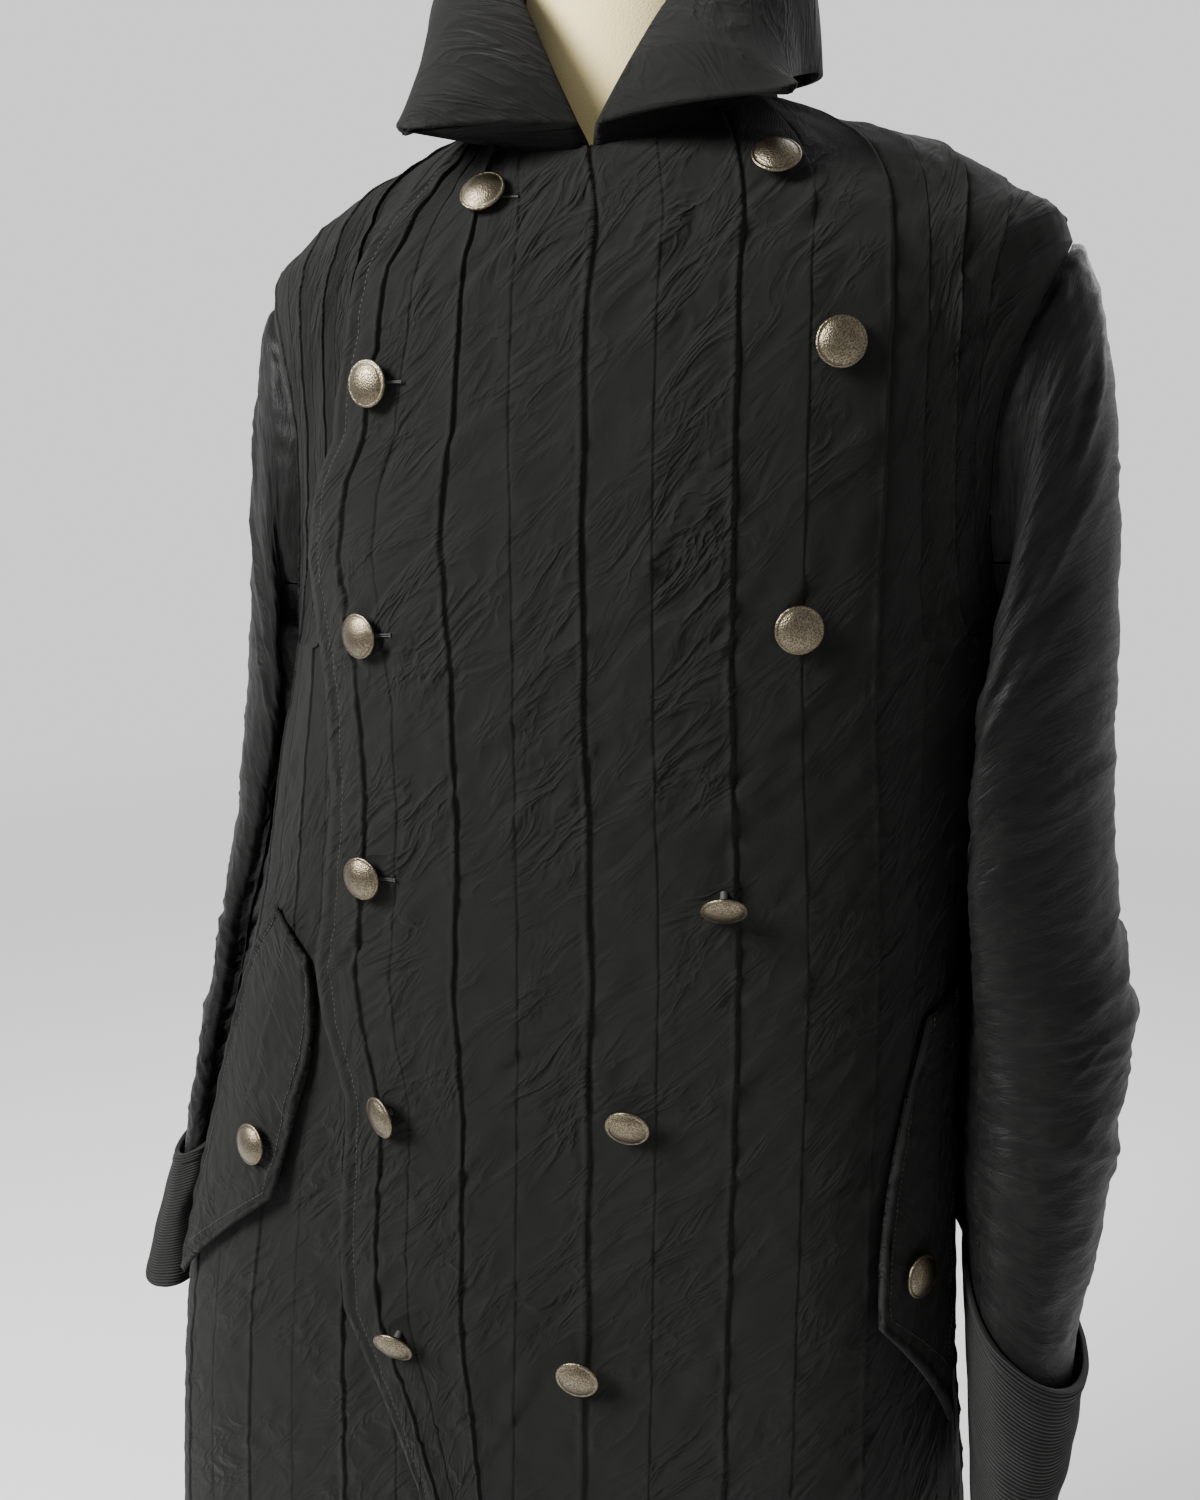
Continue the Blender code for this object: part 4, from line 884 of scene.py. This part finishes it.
for side, word in SIDES:
    angles = np.linspace(0.0, 2 * math.pi, CUFF_COLUMNS, endpoint=False)
    middle, normal, down = tube(CUFFS[side], np.append(angles, 2 * math.pi), side, CUFF_ROWS, False)
    middle, normal = middle[:, :-1], normal[:, :-1]
    x, y = np.broadcast_arrays(angles[None, :] * ARM_GIRTH, down[:, None])
    relief = 0.0007 * waves(x, y, 400 + side, 0.05, 7) + 0.0007 * smooth((0.009 - y) / 0.002)
    relief -= 0.0005 * bell(y - 0.0095, 0.0008) + 0.0004 * bell(y - 0.0035, 0.0007)
    relief += 0.0004 * smooth((y - (down[-1] - 0.010)) / 0.002)
    points = middle + normal * (CUFF_WALL / 2 + relief)[..., None]
    top = middle[:TOP_ROWS] - normal[:TOP_ROWS] * (CUFF_WALL / 2)
    low = middle[-END_ROWS:] - normal[-END_ROWS:] * (CUFF_WALL / 2)
    points = np.concatenate([np.flip(top, 0), points, np.flip(low, 0)])
    normals = np.concatenate([-np.flip(normal[:TOP_ROWS], 0), normal, -np.flip(normal[-END_ROWS:], 0)])
    y = np.concatenate([np.flip(y[:TOP_ROWS], 0), y, np.flip(y[-END_ROWS:], 0)])
    x = np.concatenate([x[:TOP_ROWS], x, x[-END_ROWS:]])
    base = sheet_mesh("cuff_base", points, normals, np.stack([x, y], -1), RIBBED, closed=True)
    layer = base.data.attributes.new("down", "FLOAT", "POINT")
    layer.data.foreach_set("value", y.ravel().astype(np.float32))
    piece = made_by(rib_tree, base, "cuff_%s_cloth" % word, Pitch=RIB_PITCH, Depth=RIB_DEPTH, Cloth=RIBBED)
    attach(piece, "root")
    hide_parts("cuff_" + word)


# COLLAR
# A large turned-over collar with a low stand, cut from the same strips and worn standing up,
# with its rounded points lifted off the chest. The leaf's edge is turned and stitched.
COLLAR_WALL = 0.0022
COLLAR = (
    # place on the neckline, roll x y z, swell x y z, edge x y z
    (0.00, 0.005, -0.100, 1.470, 0.045, -0.122, 1.474, 0.100, -0.124, 1.471),
    (0.12, 0.019, -0.094, 1.497, 0.058, -0.120, 1.508, 0.096, -0.108, 1.478),
    (0.25, 0.034, -0.081, 1.526, 0.076, -0.096, 1.540, 0.093, -0.080, 1.486),
    (0.40, 0.050, -0.063, 1.552, 0.090, -0.070, 1.568, 0.094, -0.046, 1.494),
    (0.58, 0.067, -0.024, 1.574, 0.099, -0.026, 1.592, 0.100, -0.004, 1.503),
    (0.78, 0.058, 0.035, 1.581, 0.088, 0.058, 1.598, 0.082, 0.054, 1.509),
    (1.00, 0.000, 0.064, 1.584, 0.000, 0.102, 1.600, 0.000, 0.100, 1.511),
)
COLLAR_X = (-0.014, -0.012, -0.007)
COLLAR_SPREAD = {1: 0.97, -1: 1.15}
LEAF_STRIP = 0.022


def collar_half(side, places):
    stations = np.array(COLLAR)
    row = spline(COLLAR, np.interp(places, stations[:, 0], np.arange(len(stations))))
    parts = []
    for k, shift in zip((1, 4, 7), COLLAR_X):
        part = row[:, k:k + 3] * np.array([side, 1.0, 1.0]) + np.array([shift, 0.0, 0.0])
        if k > 1:
            part[:, 0] *= 1 + (COLLAR_SPREAD[side] - 1) * smooth(places / 0.25)
        part[:, 2] += RISE_TO_LEFT * part[:, 0]
        parts.append(part)
    roll, swell, edge = parts
    length = float(arcs_at(NECK, side)[-1])
    u = side * length * np.clip(places, 0.002, 0.9999)
    v = np.full(len(u), NECK)
    theta = angle_at(v, u)
    base, normal = body_point(v, theta), body_normal(v, theta)
    up = base - body_point(v - 0.01, theta)
    up /= np.linalg.norm(up, axis=1, keepdims=True)
    raised = upper_lift(v, u) if side > 0 else np.zeros_like(u)
    tucked = base + normal * (raised + 0.0006)[:, None]
    base = base + normal * (raised + COLLAR_WALL / 2)[:, None] + up * 0.0014
    rows = [tucked - up * 0.0045, tucked + up * 0.0005]
    rows += [base + (roll - base) * t for t in np.linspace(0.0, 0.92, 18)]
    rows += [(1 - t) ** 2 * roll + 2 * t * (1 - t) * swell + t * t * edge
             for t in np.linspace(0.0, 1.0, 44) ** 1.12]
    return np.array(rows)


places = np.linspace(0.0, 1.0, 96)
collar_middle = np.concatenate([collar_half(-1, places)[:, :-1], collar_half(1, places)[:, ::-1]], axis=1)
collar_normal = unit(np.cross(np.gradient(collar_middle, axis=1), np.gradient(collar_middle, axis=0)))
if collar_normal[4, 8, 1] > 0:
    collar_normal = -collar_normal
across = run_lengths(np.linalg.norm(np.diff(collar_middle[40], axis=0), axis=1))
from_front = np.minimum(across, across[-1] - across)
along = run_lengths(np.linalg.norm(np.diff(collar_middle, axis=0), axis=-1).mean(axis=1))
x, y = np.broadcast_arrays(from_front[None, :], along[:, None])
round_neck = across[None, :] + 0 * x
to_edge = np.minimum(x, along[-1] - y)
relief = np.zeros(x.shape)
for k in range(1, 8):
    d = x - k * LEAF_STRIP
    relief += 0.0011 * np.clip(1 - d / 0.012, 0, 1) * smooth(d / 0.0009) - 0.0007 * bell(d + 0.0006, 0.0009)
relief += 0.0012 * smooth((0.0065 - to_edge) / 0.0020) - 0.0010 * bell(to_edge - 0.0072, 0.0012)
relief += 0.0008 * waves(x, y, 501, 0.012, 7) * fading(to_edge - 0.006, 0.006)
relief += 0.0008 * waves(round_neck, y, 502, 0.05, 8) + 0.0003 * waves(round_neck, y, 503, 0.012, 10)
relief = relief * smooth(np.minimum(to_edge / 0.0012, 1))
ROUND = 0.016
way_in, way_up = np.gradient(collar_middle, axis=1), -np.gradient(collar_middle, axis=0)
way_in[:, len(places):] *= -1
way_in, way_up = unit(way_in, 1e-12), unit(way_up, 1e-12)
corner_x, corner_y = np.clip(ROUND - x, 0, None), np.clip(ROUND - (along[-1] - y), 0, None)
far = np.hypot(corner_x, corner_y)
pull = np.clip(far - ROUND, 0, None) / np.maximum(far, 1e-9)
inset = way_in * (corner_x * pull)[..., None] + way_up * (corner_y * pull)[..., None]
collar_middle = collar_middle + inset
thick = np.where(np.arange(len(along)) < 2, 0.2, 1.0)[:, None, None]


def two_sided(outer, inner, normal, uv):
    """Both faces of a turned piece as one sheet that runs over its edge."""
    return (np.concatenate([outer, np.flip(inner, 0)]), np.concatenate([normal, -np.flip(normal, 0)]),
            np.concatenate([uv, np.flip(uv, 0)]))


collar = sheet_mesh("collar_cloth", *two_sided(
    collar_middle + collar_normal * (COLLAR_WALL / 2 + relief)[..., None] * thick,
    collar_middle - collar_normal * (COLLAR_WALL / 2) * thick,
    collar_normal, np.stack([round_neck, y], -1)), COAT)


def close_ends(piece):
    """Sews up what is open at a turned edge and keeps the faces pointing out."""
    shell = bmesh.new()
    shell.from_mesh(piece.data)
    bmesh.ops.remove_doubles(shell, verts=shell.verts, dist=WELD)
    open_edges = [edge for edge in shell.edges if edge.is_boundary]
    bmesh.ops.holes_fill(shell, edges=open_edges, sides=0)
    bmesh.ops.triangulate(shell, faces=[face for face in shell.faces if len(face.verts) > 4])
    bmesh.ops.recalc_face_normals(shell, faces=shell.faces)
    shell.to_mesh(piece.data)
    shell.free()
    piece.data.update()


close_ends(collar)
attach(collar, "root")
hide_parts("collar")


# POCKET FLAPS
# A long slanted flap over each side pocket, pointed at its lower outer corner, of the body's strips.
# Its edge is turned and stitched about 5 mm in, and it stands off the coat below its seam.
FLAPS = {
    # inner edge section and distance, outer edge section and distance
    1: ((3.60, 0.188, 3.64, 0.222), (3.42, 0.179, 3.45, 0.231), (3.18, 0.169, 3.14, 0.233),
        (2.90, 0.160, 2.76, 0.233), (2.60, 0.155, 2.32, 0.230), (2.34, 0.155, 1.80, 0.222)),
    -1: ((3.84, -0.177, 4.06, -0.212), (3.60, -0.172, 3.74, -0.240), (3.36, -0.174, 3.34, -0.256),
         (3.14, -0.182, 2.94, -0.274), (2.93, -0.189, 2.52, -0.283), (2.72, -0.196, 2.09, -0.298)),
}
FLAP_WALL = 0.0026
flap_outer = {}
for side, word in SIDES:
    r = np.linspace(0.0, 5.0, 110)
    edge, c = spline(FLAPS[side], r), np.linspace(0.0, 1.0, 44)
    v = edge[:, 0:1] * (1 - c) + edge[:, 2:3] * c
    u = edge[:, 1:2] * (1 - c) + edge[:, 3:4] * c
    theta = angle_at(v, u)
    base, normal = body_point(v, theta), body_normal(v, theta)
    under = upper_lift(v, u) if side > 0 else np.zeros_like(u)
    down = (r / 5.0)[:, None]
    lift = under + BODY_WALL + 0.0012 + 0.0004 + 0.007 * down ** 1.5 * (1 - 0.5 * c)
    width = np.linalg.norm(base[:, -1] - base[:, 0], axis=-1)[:, None]
    length = np.linalg.norm(np.diff(base[:, 22], axis=0), axis=-1).sum()
    x, y = c[None, :] * width, down * length + 0 * c
    to_edge = np.minimum(np.minimum(x, width - x), np.minimum(y + 0.003, length - y))
    relief = 0.0013 * smooth((0.0050 - to_edge) / 0.0016) - 0.0009 * bell(to_edge - 0.0058, 0.0011)
    relief += 0.0007 * waves(x, y, 600 + side, 0.011, 7) * fading(to_edge - 0.005, 0.006)
    d = x - 0.52 * width - 0.002 * waves(y, 0 * y, 610, 0.09, 4)
    relief += 0.0011 * np.clip(1 + d / 0.012, 0, 1) * smooth(-d / 0.0009) - 0.0004 * bell(d - 0.0009, 0.001)
    relief += 0.0010 * waves(x, y, 620 + side, 0.07, 6) + 0.0003 * waves(x, y, 630, 0.012, 10)
    relief = relief * smooth(np.minimum(to_edge / 0.0012, 1)) - 0.0008 * (1 - smooth(to_edge / 0.0016))
    outer = base + normal * (lift + FLAP_WALL + relief)[..., None]
    inner = base + normal * (lift + 0.0002)[..., None]
    flap_outer[side] = (outer, normal)
    piece = sheet_mesh("pocket_flap_%s_cloth" % word, *two_sided(
        outer, inner, normal, np.stack([x * side, y], -1)), COAT)
    close_ends(piece)
    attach(piece, "root")
    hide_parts("pocket_flap_" + word)


# TOPSTITCHING
# Rows of dark thread, about eight stitches to the inch, hold down every turned edge: the free front edge,
# the hem, the collar leaf and the flaps. Each stitch sinks a little into the cloth.
def thread_material(name, colour):
    material, tree, shader = new_material(name, {"Roughness": 0.62})
    twist = noise_node(tree, object_place(tree), 1500.0, 2.0, 0.5, 0.0, (1.0, 1.0, 2.5))
    tree.links.new(mix_colour(tree, twist, tuple(0.6 * c for c in colour), tuple(1.5 * c for c in colour)),
                   shader.inputs["Base Color"])
    bump(tree, shader, twist, 0.0002)
    return material


THREAD = thread_material("thread_look", (0.022, 0.022, 0.020))

# Sets a long bead for each stitch along a line
stitch_tree, group_in, group_out = node_group(
    "stitch_run",
    (("Geometry", "NodeSocketGeometry", None), ("Pitch", "NodeSocketFloat", None),
     ("Length", "NodeSocketFloat", None), ("Thread", "NodeSocketFloat", None),
     ("Finish", "NodeSocketMaterial", None)),
    (("Geometry", "NodeSocketGeometry"),), "GeometryNodeTree")
as_curve = add_node(stitch_tree, "GeometryNodeMeshToCurve", {0: group_in.outputs["Geometry"]})
spaced = add_node(stitch_tree, "GeometryNodeResampleCurve", {
    "Curve": as_curve.outputs[0], "Length": group_in.outputs["Pitch"]}, mode="LENGTH")
tangent = add_node(stitch_tree, "GeometryNodeInputTangent")
turned = add_node(stitch_tree, "FunctionNodeAlignRotationToVector", {"Vector": tangent.outputs[0]}, axis="Z")
bead = add_node(stitch_tree, "GeometryNodeMeshUVSphere", {"Segments": 6, "Rings": 5, "Radius": 1.0})
half_length = times(stitch_tree, group_in.outputs["Length"], 0.5)
size = add_node(stitch_tree, "ShaderNodeCombineXYZ", {
    0: group_in.outputs["Thread"], 1: group_in.outputs["Thread"], 2: half_length})
put = add_node(stitch_tree, "GeometryNodeInstanceOnPoints", {
    "Points": spaced.outputs[0], "Instance": bead.outputs["Mesh"],
    "Rotation": turned.outputs[0], "Scale": size.outputs[0]})
end_tree(stitch_tree, put.outputs[0], group_in.outputs["Finish"], group_out)


def stitch_run(name, runs, pitch=0.0032, length=0.0023, thread=0.00034):
    mesh = bpy.data.meshes.new(name)
    points, edges = [], []
    for run in runs:
        edges += [(len(points) + k, len(points) + k + 1) for k in range(len(run) - 1)]
        points += [tuple(map(float, p)) for p in run]
    mesh.from_pydata(points, edges, [])
    piece = made_by(stitch_tree, add_object(name + "_line", mesh), name,
                    Pitch=pitch, Length=length, Thread=thread, Finish=THREAD)
    shade_smooth(piece.data)
    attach(piece, "root")


STITCH_IN = 0.0066
upper_face = upper[0] + upper[1] * 0.0001
edge_column = int(np.argmin(np.abs(upper_columns - FREE_STITCH)))
stitch_run("free_edge_stitches", [upper_face[:, edge_column]])
hem_row = int(np.argmin(np.abs(LOW_Z - 0.385)))
stitch_run("hem_stitches", [upper_face[hem_row, 3:-3]])
line = int(np.argmin(np.abs(along - (along[-1] - STITCH_IN))))
first = int(np.argmin(np.abs(from_front[:60] - STITCH_IN)))
leaf = collar_middle + collar_normal * (COLLAR_WALL / 2 + 0.0002)
collar_run = np.concatenate([leaf[20:line, first], leaf[line, first:-first], leaf[20:line, -first - 1][::-1]])
stitch_run("collar_stitches", [collar_run])
for side, word in SIDES:
    cloth, normal = flap_outer[side]
    face = cloth + normal * 0.00025
    run = np.concatenate([face[3:-7, 4], face[-7, 4:-5], face[3:-7, -5][::-1]])
    stitch_run("flap_%s_stitches" % word, [run])


# BUTTONS
# Domed shank buttons of antiqued brass, 24 mm across, with a fine stipple inside a thin rim.
# Each hangs on a wrapped thread shank; the lower ones droop on theirs.
def button_metal(name):
    material, tree, shader = new_material(name, {"Metallic": 1.0})
    where = object_place(tree)
    cells = add_node(tree, "ShaderNodeTexVoronoi", {"Scale": 1250.0, "Vector": where})
    tone = noise_node(tree, where, 180.0, 4.0, 0.65)
    pits = times(tree, cells.outputs["Distance"], 1.5, clamp=True)
    dark = mix_colour(tree, tone, (0.022, 0.018, 0.013), (0.085, 0.069, 0.047))
    raised = math_node(tree, "POWER", pits, 2.0)
    tree.links.new(mix_colour(tree, raised, dark, (0.19, 0.16, 0.11)), shader.inputs["Base Color"])
    tree.links.new(plus(tree, 0.24, times(tree, tone, 0.20)), shader.inputs["Roughness"])
    bump(tree, shader, pits, 0.00014)
    return material


BRASS = button_metal("button_metal_look")
BUTTON_PROFILE = (
    # radius, height over the underside of the head
    (0.0000, -0.0006), (0.0040, -0.0005), (0.0095, -0.0002), (0.0114, 0.0001), (0.0120, 0.0006),
    (0.0122, 0.0012), (0.0120, 0.0018), (0.0115, 0.0022), (0.0110, 0.0022), (0.0106, 0.0021),
    (0.0100, 0.0026), (0.0085, 0.0035), (0.0065, 0.0043), (0.0040, 0.0049), (0.0018, 0.0052),
    (0.0000, 0.00525),
)


def lathe(name, profile, origin, axis, sides, material, smooth_angle=60.0):
    """A turned shape about an axis; the profile runs from its foot to its top."""
    turn = Vector((0, 0, 1)).rotation_difference(Vector(axis).normalized()).to_matrix()
    shell = bmesh.new()
    rings = []
    for radius, height in profile:
        angles = [2 * math.pi * k / sides for k in range(sides)] if radius > 1e-6 else [0.0]
        rings.append([shell.verts.new(Vector(origin) + turn @ Vector(
            (radius * math.cos(t), radius * math.sin(t), height))) for t in angles])
    for low, high in zip(rings, rings[1:]):
        for k in range(sides):
            n = (k + 1) % sides
            if len(low) == 1 and len(high) > 1:
                shell.faces.new((low[0], high[n], high[k]))
            elif len(high) == 1 and len(low) > 1:
                shell.faces.new((low[k], low[n], high[0]))
            elif len(low) > 1:
                shell.faces.new((low[k], low[n], high[n], high[k]))
    bmesh.ops.recalc_face_normals(shell, faces=shell.faces)
    mesh = bpy.data.meshes.new(name)
    shell.to_mesh(mesh)
    shell.free()
    mesh.materials.append(material)
    shade_smooth(mesh)
    mesh.set_sharp_from_angle(angle=math.radians(smooth_angle))
    return add_object(name, mesh)


def node_axis(node, outward):
    """Middle of the head's underside and axis of a button, from the twelve-sided solid that it replaces."""
    points = np.array([tuple(v.co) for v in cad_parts[node].data.vertices])
    corners = np.unique(np.round(points, 6), axis=0)
    middle = corners.mean(axis=0)
    axis = np.linalg.svd(corners - middle)[2][2]
    reach = np.linalg.norm(np.cross(corners - middle, axis), axis=1)
    if axis @ outward < 0:
        axis = -axis
    centre = corners[reach > 0.0121].mean(axis=0) - axis * 0.0012
    return centre, axis, float(((points - centre) @ axis).min())


button_nodes = ["button_%s%d" % (row, k) for row in "lr" for k in range(1, 7)]
button_nodes += ["button_flap_l", "button_flap_r"]
for node in button_nodes:
    centre, axis, foot = node_axis(node, np.array([0.0, -1.0, 0.0]))
    piece = lathe(node + "_head", BUTTON_PROFILE, centre, axis, 48, BRASS)
    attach(piece, "root")
    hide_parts(node)
    stem = ((0.0, foot - 0.0008), (0.0019, foot - 0.0006), (0.0022, foot * 0.6), (0.0019, foot * 0.3),
            (0.0024, -0.0004), (0.0, -0.0002))
    shank = lathe(node + "_thread", stem, centre, axis, 20, THREAD)
    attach(shank, "root")


# BUTTONHOLES
# A horizontal buttonhole lies beside four buttons of the far column: two rows of close stitches
# round a slit, with a bar across its end.
HOLES = ((7.44, -0.103), (6.10, -0.114), (4.40, -0.118), (10.10, -0.045))
HOLE_HALF, ROW_APART, SECTION_RISE = 0.012, 0.0011, 0.20
for number, (v0, u0) in enumerate(HOLES, 1):
    runs = []
    for off in (-ROW_APART, ROW_APART):
        u = np.linspace(u0 - HOLE_HALF, u0 + HOLE_HALF * 0.55, 12)
        v = np.full(12, v0) + off / SECTION_RISE
        theta = angle_at(v, u)
        runs.append(body_point(v, theta) + body_normal(v, theta) * (UPPER_LIFT + BODY_WALL + 0.0012))
    ends = [runs[0][-1], runs[1][-1]]
    bar = np.linspace(ends[0] + (ends[0] - ends[1]) * 0.35, ends[1] + (ends[1] - ends[0]) * 0.35, 4)
    stitch_run("buttonhole_%d" % number, runs + [bar], 0.0007, 0.0011, 0.00042)


# DRESS FORM
# The limbless padded form that the coat hangs on, in a cream cotton cover,
# with a dark cap on the neck, a steel pole and a round foot.
def cover_cloth(name):
    material, tree, shader = new_material(name, {"Roughness": 0.85, "Sheen Weight": 0.2})
    weave = noise_node(tree, object_place(tree), 900.0, 3.0, 0.6)
    cloud = noise_node(tree, object_place(tree), 9.0, 4.0, 0.5)
    colour = mix_colour(tree, cloud, (0.78, 0.64, 0.30), (0.87, 0.74, 0.39))
    tree.links.new(colour, shader.inputs["Base Color"])
    bump(tree, shader, weave, 0.0004)
    return material


def stand_metal(name):
    material, tree, shader = new_material(name, {"Metallic": 1.0})
    grain = noise_node(tree, object_place(tree), 160.0, 3.0, 0.6, 0.0, (1.0, 1.0, 0.1))
    colour = mix_colour(tree, grain, (0.055, 0.055, 0.058), (0.105, 0.105, 0.110))
    tree.links.new(colour, shader.inputs["Base Color"])
    tree.links.new(plus(tree, 0.30, times(tree, grain, 0.2)), shader.inputs["Roughness"])
    bump(tree, shader, grain, 0.0002)
    return material


ENAMEL = stand_metal("stand_metal_look")
bust = add_object("form_bust_cover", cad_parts["form_bust"].data.copy())
bust.data.materials.clear()
bust.data.materials.append(cover_cloth("form_cover_look"))
shell = bmesh.new()
shell.from_mesh(bust.data)
bmesh.ops.remove_doubles(shell, verts=shell.verts, dist=WELD)
bmesh.ops.join_triangles(shell, faces=shell.faces, angle_face_threshold=1.2, angle_shape_threshold=1.2)
bmesh.ops.recalc_face_normals(shell, faces=shell.faces)
shell.to_mesh(bust.data)
shell.free()
shade_smooth(bust.data)
soften = bust.modifiers.new("soften", "SUBSURF")
soften.levels = soften.render_levels = 2
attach(bust, "root")
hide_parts("form_bust")

STAND = {
    "form_cap": ((0.0, 0.0), (0.0535, 0.0), (0.0540, 0.0006), (0.0540, 0.0060), (0.0525, 0.0078),
                 (0.0460, 0.0098), (0.0250, 0.0100), (0.0, 0.0100)),
    "form_pole": ((0.0, 0.0), (0.0155, 0.0), (0.0160, 0.0006), (0.0160, 0.7340), (0.0, 0.7344)),
    "form_base": ((0.0, 0.0), (0.188, 0.0), (0.1895, 0.001), (0.190, 0.003), (0.190, 0.012), (0.189, 0.0145),
                  (0.184, 0.016), (0.120, 0.0180), (0.060, 0.0200), (0.0345, 0.0215), (0.032, 0.024),
                  (0.0300, 0.036), (0.0285, 0.0485), (0.0275, 0.0498), (0.0, 0.0500)),
}
for node, profile in STAND.items():
    low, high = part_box(node)
    foot = ((low[0] + high[0]) / 2, (low[1] + high[1]) / 2, low[2])
    piece = lathe(node + "_metal", profile, foot, (0, 0, 1), 96, ENAMEL, 50.0)
    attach(piece, "root")
    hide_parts(node)


# FLOOR AND LIGHT
# A pale floor that fades into the studio round it, a broad window-like light from the viewer's upper left,
# a weak one from the right and one from behind.
FLOOR_WHOLE, FLOOR_GONE = 1.1, 5.0
floor_mesh = bpy.data.meshes.new("floor")
floor_mesh.from_pydata([(-40, -40, 0), (40, -40, 0), (40, 40, 0), (-40, 40, 0)], [], [(0, 1, 2, 3)])
floor = add_object("floor", floor_mesh)
pale, tree, shader = new_material("pale_floor", {"Roughness": 0.9, "Base Color": (0.86, 0.86, 0.86, 1.0)})
away = add_node(tree, "ShaderNodeVectorMath", {0: object_place(tree)}, operation="LENGTH")
fade = add_node(tree, "ShaderNodeMapRange", {
    "From Min": FLOOR_WHOLE, "From Max": FLOOR_GONE, "Value": away.outputs["Value"]},
    interpolation_type="SMOOTHSTEP")
clear = add_node(tree, "ShaderNodeBsdfTransparent")
blend = add_node(tree, "ShaderNodeMixShader", {0: fade.outputs[0], 1: shader.outputs[0], 2: clear.outputs[0]})
tree.links.new(blend.outputs[0], tree.nodes["Material Output"].inputs["Surface"])
floor_mesh.materials.append(pale)

world = bpy.data.worlds.new("studio")
bpy.context.scene.world = world
world.use_nodes = True
sky = world.node_tree
background = sky.nodes["Background"]
background.inputs["Color"].default_value = (1.0, 1.0, 1.0, 1.0)
heading = add_node(sky, "ShaderNodeTexCoord")
parts = add_node(sky, "ShaderNodeSeparateXYZ", {0: heading.outputs["Generated"]})
fall = add_node(sky, "ShaderNodeMapRange", {
    "From Min": -0.25, "From Max": 0.55, "To Min": 0.42, "To Max": 1.15, "Value": parts.outputs[1]},
    interpolation_type="SMOOTHSTEP")
sky.links.new(fall.outputs[0], background.inputs["Strength"])

for name, place_at, aim, size, power in (
        ("window", (-1.60, -1.40, 2.45), (0.0, 0.0, 1.12), 1.0, 185.0),
        ("fill", (1.9, -1.5, 1.3), (0.05, 0.0, 1.0), 1.4, 3.0),
        ("back_light", (0.6, 2.2, 2.4), (0.0, 0.0, 1.2), 1.8, 40.0)):
    light_data = bpy.data.lights.new(name, "AREA")
    light_data.size = size
    light_data.energy = power
    light = add_object(name, light_data)
    light.location = place_at
    light.rotation_euler = (Vector(aim) - Vector(place_at)).to_track_quat("-Z", "Y").to_euler()
